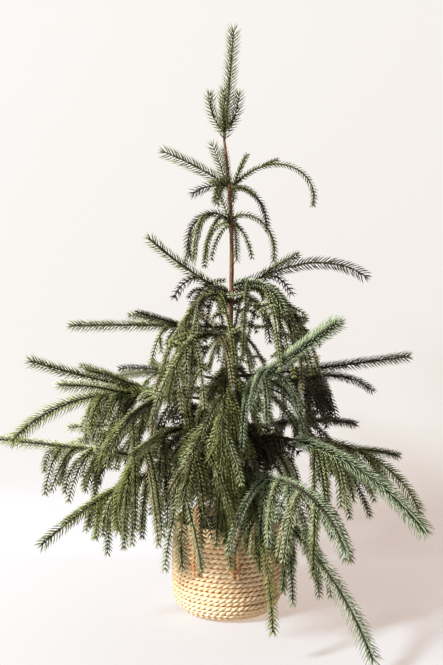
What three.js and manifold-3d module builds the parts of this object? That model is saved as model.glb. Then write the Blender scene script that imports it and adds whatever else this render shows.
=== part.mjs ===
// Young weeping spruce growing in a round seagrass basket with two rope handles.
// Millimetres and degrees, +Z up. The origin is the middle of the basket's flat
// underside, +X is to the right and -Y to the front of the plant.
import * as THREE from "three";
import { mergeVertices } from "three/addons/utils/BufferGeometryUtils.js";
import Module from "manifold-3d";

const wasm = await Module();
wasm.setup();

// Basket: a coiled cup with a rounded foot, filled with soil
const BASKET_HEIGHT = 257;
const BELLY_RADIUS = 156;
const BELLY_LEVEL = 120;
const RIM_RADIUS = 151;
const FOOT_RADIUS = 106;
const FOOT_CORNER = 58;
const BASKET_WALL = 9;
const SOIL_LEVEL = 224;
const ROUND_SIDES = 24;

// Handles: a flat loop of paired rope, sewn to the wall by its two legs
const HANDLE_SPAN = 108;
const HANDLE_RISE = 100;
const HANDLE_LEG_FOOT = 138;
const HANDLE_WIDTH = 24;
const HANDLE_THICKNESS = 12;
const HANDLE_AZIMUTHS = { front: 258, back: 78 };

// Trunk: from a flat cut on the soil to the foot of the leading shoot
const TRUNK_TOP = 1308;
const TRUNK_BOW = 15;
const TRUNK_TOP_BEND = -8;
const TRUNK_FOOT_RADIUS = 11;
const TRUNK_TIP_RADIUS = 3.4;
const ROOT_FLARE = 6;
const FLARE_HEIGHT = 28;

// Limbs and shoots
const LIMB_TAPER = 0.6;
const LIMB_RADIUS = 3.2;
const LIMB_RADIUS_PER_LENGTH = 0.0042;
const STEM_RADIUS = 3;
const TWIG_RADIUS = 2.2;
const PATH_STEP = 10;
const STEM_WHORL_STEP = 28;
const TWIG_WHORL_STEP = 40;
const NEEDLE_LEAN = 22;
const NEEDLE_TIP = 14;
const TWIG_REACH = 15;
const TWIG_SPREAD = 52;
const TWIG_BEND = 0.34;
const TWIG_FULLEST = 1.18;
const TWIG_SHORTENING = 0.4;
const TWIG_TRIES = 5;
const FORK_SPREAD = 30;
const SLENDER_REACH = 22;
const ROOT_SHOOT_LENGTH = 112;
const ROOT_SHOOT_RISES = [
  { rise: 68, tip: 62 },
  { rise: 8, tip: -34 },
];

// Clearances
const SEAT_GAP = 0.3;
const FOLIAGE_GAP = 2.5;
const FLOOR_GAP = 4;

// One row for each bough: its height on the trunk, the way it points, its length, its
// rise at the root and at the tip and how late it bends, the bare length before its
// needles and how far they reach to each side, its forward side shoots and where they
// start, the short shoots at its foot, and the twigs that weep from it: their number,
// length and last place.
const BOUGHS = [
  { tier: 7, side: "left", height: 1177, azimuth: 195, length: 205, rise: 36, tip: 19, bend: 0.7,
    bare: 0, reach: 24, forks: 0, forkAt: 0, rootShoots: 2, twigs: 0, weep: 0, weepTo: 0 },
  { tier: 7, side: "right", height: 1168, azimuth: 357, length: 330, rise: 48, tip: -104, bend: 1.52,
    bare: 0, reach: 12, forks: 1, forkAt: 0.24, rootShoots: 1, twigs: 0, weep: 0, weepTo: 0 },
  { tier: 7, side: "front_right", height: 1166, azimuth: 318, length: 205, rise: 40, tip: -86, bend: 0.6,
    bare: 0, reach: 13, forks: 0, forkAt: 0, rootShoots: 2, twigs: 0, weep: 0, weepTo: 0 },
  { tier: 7, side: "back", height: 1186, azimuth: 100, length: 200, rise: 32, tip: -50, bend: 1,
    bare: 0, reach: 20, forks: 1, forkAt: 0.42, rootShoots: 2, twigs: 2, weep: 80, weepTo: 0.5 },

  { tier: 6, side: "left", height: 1070, azimuth: 206, length: 236, rise: 78, tip: -116, bend: 0.72,
    bare: 0, reach: 16, forks: 0, forkAt: 0, rootShoots: 1, twigs: 3, weep: 180, weepTo: 0.5 },
  { tier: 6, side: "right", height: 1084, azimuth: 348, length: 215, rise: 78, tip: -100, bend: 0.5,
    bare: 0, reach: 13, forks: 0, forkAt: 0, rootShoots: 0, twigs: 0, weep: 0, weepTo: 0 },
  { tier: 6, side: "back", height: 1048, azimuth: 85, length: 270, rise: 55, tip: -80, bend: 0.9,
    bare: 0, reach: 16, forks: 0, forkAt: 0, rootShoots: 1, twigs: 2, weep: 110, weepTo: 0.6 },

  { tier: 5, side: "left", height: 881, azimuth: 188, length: 275, rise: 20, tip: 42, bend: 0.6,
    bare: 0, reach: 23, forks: 0, forkAt: 0, rootShoots: 0, twigs: 2, weep: 150, weepTo: 0.28 },
  { tier: 5, side: "right", height: 889, azimuth: 353, length: 391, rise: 26, tip: -37, bend: 2.14,
    bare: 0, reach: 24, forks: 1, forkAt: 0.14, rootShoots: 0, twigs: 1, weep: 120, weepTo: 0.22 },
  { tier: 5, side: "front", height: 902, azimuth: 316, length: 230, rise: 20, tip: -70, bend: 1.2,
    bare: 0, reach: 18, forks: 0, forkAt: 0, rootShoots: 0, twigs: 6, weep: 230, weepTo: 0.9 },
  { tier: 5, side: "front_left", height: 852, azimuth: 226, length: 330, rise: 70, tip: -98, bend: 0.55,
    bare: 0, reach: 16, forks: 0, forkAt: 0, rootShoots: 0, twigs: 6, weep: 210, weepTo: 0.85 },
  { tier: 5, side: "right_front", height: 866, azimuth: 335, length: 336, rise: 72, tip: -94, bend: 0.58,
    bare: 0, reach: 15, forks: 0, forkAt: 0, rootShoots: 0, twigs: 6, weep: 230, weepTo: 0.85 },
  { tier: 5, side: "back_right", height: 846, azimuth: 58, length: 300, rise: 45, tip: -80, bend: 0.8,
    bare: 0, reach: 18, forks: 0, forkAt: 0, rootShoots: 0, twigs: 4, weep: 220, weepTo: 0.8 },
  { tier: 5, side: "back_left", height: 870, azimuth: 122, length: 300, rise: 45, tip: -78, bend: 0.8,
    bare: 0, reach: 18, forks: 0, forkAt: 0, rootShoots: 0, twigs: 4, weep: 220, weepTo: 0.8 },

  { tier: 4, side: "left", height: 786, azimuth: 184, length: 440, rise: 4, tip: -1, bend: 0.7,
    bare: 0, reach: 22, forks: 2, forkAt: 0.26, rootShoots: 0, twigs: 3, weep: 140, weepTo: 0.42 },
  { tier: 4, side: "front_left", height: 729, azimuth: 240, length: 400, rise: 39, tip: -80, bend: 1,
    bare: 0, reach: 19, forks: 0, forkAt: 0, rootShoots: 0, twigs: 5, weep: 170, weepTo: 0.85 },
  { tier: 4, side: "back", height: 760, azimuth: 88, length: 420, rise: 20, tip: -44, bend: 1,
    bare: 0, reach: 21, forks: 1, forkAt: 0.42, rootShoots: 0, twigs: 5, weep: 200, weepTo: 0.7 },

  { tier: 3, side: "left", height: 583, azimuth: 191, length: 553, rise: 1, tip: 18, bend: 0.5,
    bare: 150, reach: 24, forks: 2, forkAt: 0.42, rootShoots: 0, twigs: 4, weep: 140, weepTo: 0.58 },
  { tier: 3, side: "right", height: 650, azimuth: 2, length: 508, rise: 3, tip: 8, bend: 0.5,
    bare: 110, reach: 22, forks: 0, forkAt: 0, rootShoots: 0, twigs: 6, weep: 170, weepTo: 0.46 },
  { tier: 3, side: "front_right", height: 577, azimuth: 309, length: 475, rise: 30, tip: 27, bend: 2,
    bare: 0, reach: 26, forks: 1, forkAt: 0.42, rootShoots: 0, twigs: 7, weep: 190, weepTo: 0.44 },
  { tier: 3, side: "front_left", height: 600, azimuth: 222, length: 457, rise: 17, tip: -55, bend: 1.2,
    bare: 0, reach: 22, forks: 1, forkAt: 0.42, rootShoots: 0, twigs: 6, weep: 190, weepTo: 0.8 },
  { tier: 3, side: "back_right", height: 601, azimuth: 28, length: 518, rise: 10, tip: -37, bend: 3,
    bare: 130, reach: 20, forks: 0, forkAt: 0, rootShoots: 0, twigs: 4, weep: 140, weepTo: 0.55 },
  { tier: 3, side: "back_left", height: 634, azimuth: 136, length: 480, rise: 8, tip: -10, bend: 1,
    bare: 130, reach: 22, forks: 2, forkAt: 0.42, rootShoots: 0, twigs: 4, weep: 150, weepTo: 0.6 },
  { tier: 3, side: "back", height: 640, azimuth: 84, length: 500, rise: 40, tip: -92, bend: 0.8,
    bare: 0, reach: 20, forks: 0, forkAt: 0, rootShoots: 0, twigs: 6, weep: 170, weepTo: 0.9 },
  { tier: 3, side: "front", height: 650, azimuth: 266, length: 540, rise: 46, tip: -96, bend: 0.58,
    bare: 0, reach: 23, forks: 0, forkAt: 0, rootShoots: 0, twigs: 7, weep: 150, weepTo: 0.95 },

  { tier: 2, side: "left", height: 527, azimuth: 199, length: 632, rise: 25, tip: -47, bend: 1.6,
    bare: 190, reach: 28, forks: 1, forkAt: 0.42, rootShoots: 0, twigs: 5, weep: 150, weepTo: 0.62 },
  { tier: 2, side: "right_front", height: 470, azimuth: 324, length: 633, rise: 19, tip: -47, bend: 0.92,
    bare: 200, reach: 31, forks: 0, forkAt: 0, rootShoots: 0, twigs: 6, weep: 170, weepTo: 0.55 },
  { tier: 2, side: "right", height: 444, azimuth: 4, length: 637, rise: 12, tip: -69, bend: 1.62,
    bare: 180, reach: 24, forks: 1, forkAt: 0.42, rootShoots: 0, twigs: 5, weep: 140, weepTo: 0.70 },
  { tier: 2, side: "front", height: 497, azimuth: 254, length: 610, rise: 33, tip: -102, bend: 1.04,
    bare: 0, reach: 21, forks: 0, forkAt: 0, rootShoots: 0, twigs: 7, weep: 190, weepTo: 0.58 },
  { tier: 2, side: "front_left", height: 456, azimuth: 232, length: 574, rise: 32, tip: -96, bend: 1.45,
    bare: 120, reach: 23, forks: 1, forkAt: 0.42, rootShoots: 0, twigs: 7, weep: 210, weepTo: 0.8 },
  { tier: 2, side: "back_right", height: 505, azimuth: 47, length: 640, rise: -2, tip: -14, bend: 3,
    bare: 180, reach: 21, forks: 1, forkAt: 0.42, rootShoots: 0, twigs: 4, weep: 160, weepTo: 0.6 },
  { tier: 2, side: "back", height: 490, azimuth: 98, length: 560, rise: 32, tip: -92, bend: 1.1,
    bare: 0, reach: 22, forks: 0, forkAt: 0, rootShoots: 0, twigs: 7, weep: 190, weepTo: 0.8 },
  { tier: 2, side: "back_left", height: 474, azimuth: 156, length: 600, rise: 10, tip: -36, bend: 1.4,
    bare: 190, reach: 25, forks: 1, forkAt: 0.42, rootShoots: 0, twigs: 5, weep: 170, weepTo: 0.7 },

  { tier: 1, side: "left", height: 396, azimuth: 183, length: 655, rise: 8, tip: 7, bend: 1,
    bare: 230, reach: 23, forks: 0, forkAt: 0, rootShoots: 0, twigs: 5, weep: 160, weepTo: 0.72 },
  { tier: 1, side: "front_left", height: 405, azimuth: 207, length: 571, rise: 33, tip: -37, bend: 0.41,
    bare: 170, reach: 23, forks: 1, forkAt: 0.42, rootShoots: 0, twigs: 7, weep: 150, weepTo: 0.68 },
  { tier: 1, side: "front_right", height: 353, azimuth: 306, length: 663, rise: -8, tip: -59, bend: 1.42,
    bare: 190, reach: 27, forks: 0, forkAt: 0, rootShoots: 0, twigs: 5, weep: 160, weepTo: 0.45 },
  { tier: 1, side: "right_front", height: 363, azimuth: 294, length: 646, rise: 11, tip: -54, bend: 3.35,
    bare: 140, reach: 24, forks: 0, forkAt: 0, rootShoots: 0, twigs: 8, weep: 180, weepTo: 0.8 },
  { tier: 1, side: "front", height: 375, azimuth: 285, length: 595, rise: 47, tip: -85, bend: 0.61,
    bare: 0, reach: 18, forks: 0, forkAt: 0, rootShoots: 0, twigs: 8, weep: 120, weepTo: 0.62 },
  { tier: 1, side: "back_right", height: 424, azimuth: 64, length: 560, rise: 14, tip: -62, bend: 1.3,
    bare: 0, reach: 24, forks: 1, forkAt: 0.42, rootShoots: 0, twigs: 5, weep: 180, weepTo: 0.75 },
  { tier: 1, side: "back", height: 392, azimuth: 124, length: 560, rise: 14, tip: -62, bend: 1.3,
    bare: 0, reach: 24, forks: 1, forkAt: 0.42, rootShoots: 0, twigs: 5, weep: 180, weepTo: 0.75 },
];

// The leading shoot and the ring of upright side shoots at its foot
const LEADER = { azimuth: 0, length: 302, reach: 24, rise: 84, tip: 86.5, bend: 1 };
const LEADER_SIDES = { length: 114, reach: 21, rise: 36, tip: 92, bend: 0.7 };
const LEADER_SIDE_AZIMUTHS = [184, 352, 92, 268];
const LEADER_SIDE_HEIGHT = 24;

const COLOURS = {
  seagrass: { color: 0xd8b27a, roughness: 0.85, metalness: 0 },
  rope: { color: 0xcfa26c, roughness: 0.85, metalness: 0 },
  soil: { color: 0x2b211c, roughness: 1, metalness: 0 },
  bark: { color: 0x8a5a40, roughness: 0.8, metalness: 0 },
  needles: { color: 0x55653f, roughness: 0.6, metalness: 0 },
};

const plant = new THREE.Group();
plant.name = "potted_weeping_spruce";

function addPiece(name, geometry, finish) {
  const mesh = new THREE.Mesh(geometry, new THREE.MeshStandardMaterial(COLOURS[finish]));
  mesh.name = name;
  plant.add(mesh);
}

const radians = THREE.MathUtils.degToRad;
const lerp = THREE.MathUtils.lerp;

// A repeatable stream of numbers from 0 to 1 for each twig of each bough
function seededStream(boughIndex, twigIndex) {
  let state = (boughIndex * 7919 + twigIndex * 104729 + 12345) >>> 0;
  return () => {
    state = (Math.imul(state, 1664525) + 1013904223) >>> 0;
    return state / 4294967296;
  };
}

// Solids: closed skins over rings of points, joined and cut

function geometryOf(points, triangles) {
  const geometry = new THREE.BufferGeometry().setFromPoints(points);
  geometry.setIndex(triangles.flat());
  return geometry;
}

function solidOf(geometry) {
  const bare = geometry.clone();
  bare.deleteAttribute("normal");
  bare.deleteAttribute("uv");
  const merged = mergeVertices(bare, 1e-3);
  return new wasm.Manifold(
    new wasm.Mesh({
      numProp: 3,
      vertProperties: new Float32Array(merged.getAttribute("position").array),
      triVerts: new Uint32Array(merged.index.array),
    }),
  );
}

// The largest closed body of a solid, so that loose scraps and sealed hollows are left out
function geometryOfSolid(solid) {
  const [body] = solid.decompose().sort((a, b) => b.volume() - a.volume());
  const mesh = body.getMesh();
  return new THREE.BufferGeometry()
    .setAttribute("position", new THREE.BufferAttribute(mesh.vertProperties, mesh.numProp))
    .setIndex(new THREE.BufferAttribute(mesh.triVerts, 1));
}

// Skin over rings of equal size. The first ring is a flat cut, and the last one either a
// flat cut or drawn to a point. In a skin with needles the even corners of even rings and
// the odd corners of odd rings are needle tips, and each face meets only one tip.
function skin(rings, tipPoint, hasNeedles) {
  const sides = rings[0].length;
  const points = rings.flat();
  const triangles = [];
  const at = (ring, corner) => ring * sides + (corner % sides);
  for (let ring = 0; ring + 1 < rings.length; ring++) {
    for (let corner = 0; corner < sides; corner++) {
      const [a, b] = [at(ring, corner), at(ring, corner + 1)];
      const [c, d] = [at(ring + 1, corner + 1), at(ring + 1, corner)];
      if (hasNeedles && (ring + corner) % 2) triangles.push([a, b, c], [a, c, d]);
      else triangles.push([a, b, d], [b, c, d]);
    }
  }
  for (let corner = 1; corner + 1 < sides; corner++) {
    triangles.push([at(0, 0), at(0, corner + 1), at(0, corner)]);
  }
  const last = rings.length - 1;
  if (tipPoint) {
    points.push(tipPoint);
    for (let corner = 0; corner < sides; corner++) {
      triangles.push([at(last, corner), at(last, corner + 1), points.length - 1]);
    }
  } else {
    for (let corner = 1; corner + 1 < sides; corner++) {
      triangles.push([at(last, 0), at(last, corner), at(last, corner + 1)]);
    }
  }
  return geometryOf(points, triangles);
}

// Paths: arches that stay in one upright plane

function heading(azimuth, rise) {
  const [a, r] = [radians(azimuth), radians(rise)];
  return new THREE.Vector3(Math.cos(a) * Math.cos(r), Math.sin(a) * Math.cos(r), Math.sin(r));
}

function riseAt(arch, share) {
  return arch.rise + (arch.tip - arch.rise) * share ** arch.bend;
}

// Points at equal steps along an arch
function pathOf(arch) {
  const steps = Math.max(3, Math.round(arch.length / PATH_STEP));
  const points = [arch.start.clone()];
  for (let step = 0; step < steps; step++) {
    const way = heading(arch.azimuth, riseAt(arch, (step + 0.5) / steps));
    points.push(points[step].clone().addScaledVector(way, arch.length / steps));
  }
  return points;
}

function pointOn(path, share) {
  const place = THREE.MathUtils.clamp(share, 0, 1) * (path.length - 1);
  const step = Math.min(Math.floor(place), path.length - 2);
  return path[step].clone().lerp(path[step + 1], place - step);
}

// A ring of points round an arch, with its first corner to the arch's side
function ringOn(arch, path, share, sides, radiusOf, leanOf) {
  const way = heading(arch.azimuth, riseAt(arch, share));
  const sideways = heading(arch.azimuth + 90, 0);
  const upward = new THREE.Vector3().crossVectors(way, sideways);
  const centre = pointOn(path, share);
  return Array.from({ length: sides }, (_, corner) => {
    const turn = (2 * Math.PI * corner) / sides;
    return centre
      .clone()
      .addScaledVector(sideways, radiusOf(corner) * Math.cos(turn))
      .addScaledVector(upward, radiusOf(corner) * Math.sin(turn))
      .addScaledVector(way, leanOf ? leanOf(corner) : 0);
  });
}

// A bare tapering limb between two shares of an arch
function limbGeometry(arch, path, from, to, footRadius, tipRadius, sides) {
  const count = Math.max(2, Math.round(((to - from) * arch.length) / (4 * PATH_STEP)));
  const rings = Array.from({ length: count + 1 }, (_, k) => {
    const radius = lerp(footRadius, tipRadius, k / count);
    return ringOn(arch, path, lerp(from, to, k / count), sides, () => radius);
  });
  return skin(rings, null, false);
}

// A shoot: a slim four-cornered core whose corners are drawn out into needles, two to a
// ring, that lean forward. The first rings are bare, so that the root can sink into a stem.
function shootGeometry(arch, path, from, radius, reach, whorlStep) {
  const span = (1 - from) * arch.length;
  const count = Math.max(4, Math.round(span / whorlStep));
  const rings = [];
  for (let k = 0; k < count; k++) {
    const share = from + (1 - from) * (k / count);
    const core = lerp(radius, 0.5 * radius, k / count);
    const full = Math.min(1, (k - 1) / 2);
    const isTip = (corner) => k > 1 && (corner + k) % 2 === 0;
    const sideReach = (corner) => (corner % 2 ? 0.8 : 1) * full * reach;
    const radiusOf = (corner) => (isTip(corner) ? sideReach(corner) : core);
    const leanOf = (corner) => (isTip(corner) ? full * NEEDLE_LEAN : 0);
    rings.push(ringOn(arch, path, share, 4, radiusOf, leanOf));
  }
  const tipPoint = pointOn(path, 1).addScaledVector(heading(arch.azimuth, riseAt(arch, 1)), NEEDLE_TIP);
  return skin(rings, tipPoint, true);
}

// Basket, soil and handles

function outerRadius(level) {
  if (level < FOOT_CORNER) {
    const drop = 1 - level / FOOT_CORNER;
    return FOOT_RADIUS + (BELLY_RADIUS - FOOT_RADIUS - 1) * Math.sqrt(1 - drop * drop);
  }
  const above = (level - BELLY_LEVEL) / (BASKET_HEIGHT - BELLY_LEVEL);
  return BELLY_RADIUS - (BELLY_RADIUS - RIM_RADIUS) * above * Math.abs(above);
}

function latheOf(profile) {
  const geometry = new THREE.LatheGeometry(profile, ROUND_SIDES);
  return geometry.rotateX(Math.PI / 2);
}

function outerProfile(extraRadius) {
  const cornerLevels = [0, 0.06, 0.22, 0.55, 1].map((share) => share * FOOT_CORNER);
  const levels = [...cornerLevels, BELLY_LEVEL, 190, BASKET_HEIGHT - 6];
  return levels.map((level) => new THREE.Vector2(outerRadius(level) + extraRadius, level));
}

function basketGeometry() {
  const outside = outerProfile(0);
  const inside = outside
    .slice(1)
    .map((p) => new THREE.Vector2(p.x - BASKET_WALL, Math.max(p.y, BASKET_WALL)))
    .reverse();
  const crest = new THREE.Vector2(RIM_RADIUS - BASKET_WALL / 2, BASKET_HEIGHT);
  const middle = [new THREE.Vector2(0, 0), new THREE.Vector2(0, BASKET_WALL)];
  return latheOf([middle[0], ...outside, crest, ...inside, middle[1]]);
}

// The basket's outer form with the seat gap added, to trim what is sewn to its wall
function basketRoomGeometry() {
  const outside = outerProfile(SEAT_GAP);
  const top = BASKET_HEIGHT + SEAT_GAP;
  return latheOf([
    new THREE.Vector2(0, 0),
    ...outside,
    new THREE.Vector2(RIM_RADIUS - BASKET_WALL / 2, top),
    new THREE.Vector2(0, top),
  ]);
}

function soilGeometry() {
  const levels = [0.22 * FOOT_CORNER, 0.55 * FOOT_CORNER, FOOT_CORNER, BELLY_LEVEL, 190, SOIL_LEVEL];
  const inset = BASKET_WALL + 2 * SEAT_GAP;
  const wall = levels.map((level) => new THREE.Vector2(outerRadius(level) - inset, level));
  return latheOf([
    new THREE.Vector2(0, BASKET_WALL + SEAT_GAP),
    new THREE.Vector2(outerRadius(0) - BASKET_WALL, BASKET_WALL + SEAT_GAP),
    ...wall,
    new THREE.Vector2(0, SOIL_LEVEL),
  ]);
}

// The middle line of a handle: up one leg, over the arch and down the other leg
function handlePath(azimuth) {
  const seat = 0.46 * HANDLE_THICKNESS;
  const halfAngle = THREE.MathUtils.radToDeg(Math.asin(HANDLE_SPAN / 2 / (BELLY_RADIUS + seat)));
  const legLevels = [HANDLE_LEG_FOOT, 190, 230, BASKET_HEIGHT];
  const arcShares = [0.12, 0.25, 0.375, 0.5, 0.625, 0.75, 0.88];
  const place = (turn, level) => {
    const out = heading(azimuth + turn, 0);
    const radius = outerRadius(Math.min(level, BASKET_HEIGHT)) + seat;
    return { point: out.clone().multiplyScalar(radius).setZ(level), out };
  };
  return [
    ...legLevels.map((level) => place(-halfAngle, level)),
    ...arcShares.map((share) => {
      const angle = Math.PI * share;
      return place(-halfAngle * Math.cos(angle), BASKET_HEIGHT + HANDLE_RISE * Math.sin(angle) ** 0.8);
    }),
    ...legLevels.reverse().map((level) => place(halfAngle, level)),
  ];
}

function handleGeometry(azimuth) {
  const line = handlePath(azimuth);
  const rings = line.map(({ point, out }, k) => {
    const before = line[Math.max(0, k - 1)].point;
    const after = line[Math.min(line.length - 1, k + 1)].point;
    const across = new THREE.Vector3().crossVectors(after.clone().sub(before), out).normalize();
    return Array.from({ length: 8 }, (_, corner) => {
      const turn = (2 * Math.PI * (corner + 0.5)) / 8;
      return point
        .clone()
        .addScaledVector(out, (HANDLE_THICKNESS / 2) * Math.cos(turn))
        .addScaledVector(across, (HANDLE_WIDTH / 2) * Math.sin(turn));
    });
  });
  return geometryOfSolid(solidOf(skin(rings, null, false)).subtract(basketRoom));
}

const basketRoom = solidOf(basketRoomGeometry());
addPiece("basket", basketGeometry(), "seagrass");
addPiece("soil", soilGeometry(), "soil");
for (const [side, azimuth] of Object.entries(HANDLE_AZIMUTHS)) {
  addPiece(`handle_${side}`, handleGeometry(azimuth), "rope");
}

// Trunk

function trunkCentre(level) {
  const share = Math.max(0, (level - SOIL_LEVEL) / (TRUNK_TOP - SOIL_LEVEL));
  const bow = TRUNK_BOW * Math.sin(Math.PI * share ** 2.2);
  return new THREE.Vector3(bow + TRUNK_TOP_BEND * share ** 4, 0, level);
}

function trunkRadius(level) {
  const share = (level - SOIL_LEVEL) / (TRUNK_TOP - SOIL_LEVEL);
  const flare = ROOT_FLARE * Math.max(0, 1 - (level - SOIL_LEVEL) / FLARE_HEIGHT) ** 2;
  return lerp(TRUNK_FOOT_RADIUS, TRUNK_TIP_RADIUS, share) + flare;
}

function trunkGeometry(extraRadius) {
  const foot = SOIL_LEVEL + SEAT_GAP - extraRadius;
  const levels = [foot, SOIL_LEVEL + 8, SOIL_LEVEL + FLARE_HEIGHT];
  for (let k = 1; k <= 10; k++) levels.push(lerp(SOIL_LEVEL, TRUNK_TOP + extraRadius, k / 10));
  const rings = levels.map((level) =>
    Array.from({ length: 8 }, (_, corner) => {
      const out = heading(45 * corner, 0);
      return trunkCentre(level).addScaledVector(out, trunkRadius(level) + extraRadius);
    }),
  );
  return skin(rings, null, false);
}

addPiece("trunk", trunkGeometry(0), "bark");
const trunkRoom = solidOf(trunkGeometry(SEAT_GAP));

// Room: every placed limb and shoot as a row of balls, so that a new twig keeps clear

const placedBalls = [];

function ballsAlong(path, radiusOf, skipLength) {
  const balls = [];
  for (let k = 0; k < path.length; k++) {
    const radius = radiusOf(k / (path.length - 1));
    if (k * PATH_STEP >= skipLength) balls.push({ centre: path[k], radius });
  }
  return balls;
}

function claimRoom(owner, balls) {
  for (const ball of balls) placedBalls.push({ owner, ...ball });
}

function nearBasket({ centre, radius }) {
  const out = Math.hypot(centre.x, centre.y);
  if (centre.z - radius > BASKET_HEIGHT + FOLIAGE_GAP) return false;
  const insideRim = out + radius < RIM_RADIUS - BASKET_WALL - FOLIAGE_GAP;
  const aboveSoil = centre.z - radius > SOIL_LEVEL + FLOOR_GAP;
  return !(insideRim && aboveSoil) && out - radius < BELLY_RADIUS + FOLIAGE_GAP;
}

// The hand hole under each handle, seen straight through, stays free of twigs
function nearHandle({ centre, radius }) {
  if (centre.z - radius > BASKET_HEIGHT + HANDLE_RISE + HANDLE_WIDTH) return false;
  return Object.values(HANDLE_AZIMUTHS).some((azimuth) => {
    const out = heading(azimuth, 0);
    const along = centre.dot(out);
    const across = Math.abs(centre.dot(heading(azimuth + 90, 0)));
    const innerFace = RIM_RADIUS - 60;
    return along + radius > innerFace && across - radius < HANDLE_SPAN / 2 + HANDLE_WIDTH;
  });
}

function hasRoom(owner, balls) {
  return balls.every((ball) => {
    if (ball.centre.z - ball.radius < FLOOR_GAP || nearBasket(ball) || nearHandle(ball)) return false;
    return placedBalls.every((other) => {
      const gap = ball.centre.distanceTo(other.centre) - ball.radius - other.radius;
      return gap > FOLIAGE_GAP || (other.owner === owner && other.isStem);
    });
  });
}

const trunkPath = Array.from({ length: 110 }, (_, k) => trunkCentre(lerp(SOIL_LEVEL, TRUNK_TOP, k / 109)));
claimRoom("trunk", ballsAlong(trunkPath, (share) => trunkRadius(lerp(SOIL_LEVEL, TRUNK_TOP, share)), 0));

// Twigs

// A forward side shoot from the middle of a bough, short where the bough is slender
function forkArch(bough, index) {
  const random = seededStream(bough.index, 500 + index);
  const turn = (index % 2 ? -1 : 1) * FORK_SPREAD * (0.8 + 0.5 * random());
  const share = bough.forkAt + 0.16 * random();
  const rise = riseAt(bough.arch, share);
  const slender = Math.min(1, bough.reach / SLENDER_REACH);
  const length = bough.length * lerp(0.3, 0.38, random()) * slender;
  return {
    start: pointOn(bough.path, share),
    azimuth: bough.azimuth + turn,
    rise: rise + 14,
    tip: rise - 6 + 16 * random(),
    bend: 1,
    length,
  };
}

// A short shoot from the foot of an upper bough, the first one upright and the next level
function rootShootArch(bough, index) {
  const random = seededStream(bough.index, 600 + index);
  const turn = (index % 2 ? -1 : 1) * lerp(6, 26, random());
  return {
    start: pointOn(bough.path, 0.04),
    azimuth: bough.azimuth + turn,
    ...ROOT_SHOOT_RISES[index % 2],
    bend: 1,
    length: ROOT_SHOOT_LENGTH * lerp(0.85, 1.1, random()),
  };
}

// Twigs leave the bough to both sides in turn, arch outward and then hang, shorter further out
function twigArch(bough, index, attempt) {
  const random = seededStream(bough.index, index * 10 + attempt);
  const along = (index + 0.2 + 0.6 * random()) / bough.twigs;
  const share = lerp(bough.firstTwig, bough.weepTo, along);
  const turn = (index % 2 ? -1 : 1) * TWIG_SPREAD * (0.55 + 0.7 * random());
  const fullness = (TWIG_FULLEST - TWIG_SHORTENING * along) * (1 - 0.12 * attempt);
  const length = bough.weep * (0.75 + 0.5 * random()) * fullness;
  return {
    start: pointOn(bough.path, share),
    azimuth: bough.azimuth + turn,
    rise: Math.min(30, riseAt(bough.arch, share) + 12),
    tip: -84 + 14 * random(),
    bend: TWIG_BEND,
    length,
  };
}

function twigBalls(path, reach) {
  return ballsAlong(path, (share) => (share < 0.2 ? 0.5 * reach : reach), 30);
}

function stemBalls(bough) {
  const bareShare = bough.bare / bough.length;
  return ballsAlong(
    bough.path,
    (share) => (share < bareShare + 0.06 ? limbRadius(bough, share) : bough.reach + 1),
    trunkRadius(bough.height) + 4,
  );
}

function limbRadius(bough, share) {
  const foot = LIMB_RADIUS + LIMB_RADIUS_PER_LENGTH * bough.length;
  return foot * lerp(1, LIMB_TAPER, share / Math.max(0.2, bough.bare / bough.length));
}

// Boughs with their places on the trunk

const boughs = BOUGHS.map((row, index) => {
  const arch = { ...row, start: trunkCentre(row.height) };
  const path = pathOf(arch);
  const bareShare = row.bare / row.length;
  const name = `${row.tier}_${row.side}`;
  return { ...row, name, index, arch, path, firstTwig: bareShare + 0.1, shoots: [] };
});
for (const bough of boughs) {
  const balls = stemBalls(bough);
  claimRoom(bough.name, balls.map((ball) => ({ ...ball, isStem: true })));
}

// Adds a shoot to its bough where there is room for it
function placeShoot(bough, arch, reach) {
  const path = pathOf(arch);
  const balls = twigBalls(path, reach);
  if (!hasRoom(bough.name, balls)) return false;
  claimRoom(bough.name, balls);
  bough.shoots.push({ arch, path, reach });
  return true;
}

// Side shoots first, then the weeping twigs, one to each bough in turn
for (const bough of boughs) {
  const reach = 0.8 * bough.reach;
  for (let index = 0; index < bough.rootShoots; index++) {
    placeShoot(bough, rootShootArch(bough, index), reach);
  }
  for (let index = 0; index < bough.forks; index++) {
    placeShoot(bough, forkArch(bough, index), reach);
  }
}
const mostTwigs = Math.max(...BOUGHS.map((row) => row.twigs));
for (let index = 0; index < mostTwigs; index++) {
  for (const bough of boughs) {
    if (index >= bough.twigs) continue;
    for (let attempt = 0; attempt < TWIG_TRIES; attempt++) {
      if (placeShoot(bough, twigArch(bough, index, attempt), TWIG_REACH)) break;
    }
  }
}

// Each bough's bare limb, and its foliage fused from the stem and all its shoots

function stemSolid(arch, path, from, radius, reach) {
  return solidOf(shootGeometry(arch, path, from, radius, reach, STEM_WHORL_STEP));
}

function twigSolid({ arch, path, reach }) {
  return solidOf(shootGeometry(arch, path, 0, TWIG_RADIUS, reach, TWIG_WHORL_STEP));
}

function foliageGeometry(bough) {
  const bareShare = bough.bare / bough.length;
  const from = bareShare + (bough.bare ? SEAT_GAP / bough.length : 0);
  let solid = stemSolid(bough.arch, bough.path, from, STEM_RADIUS, bough.reach);
  for (const shoot of bough.shoots) solid = solid.add(twigSolid(shoot));
  return geometryOfSolid(solid.subtract(trunkRoom));
}

function boughGeometry(bough) {
  const bareShare = bough.bare / bough.length;
  const footRadius = limbRadius(bough, 0);
  const limb = limbGeometry(bough.arch, bough.path, 0, bareShare, footRadius, LIMB_TAPER * footRadius, 6);
  return geometryOfSolid(solidOf(limb).subtract(trunkRoom));
}

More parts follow.
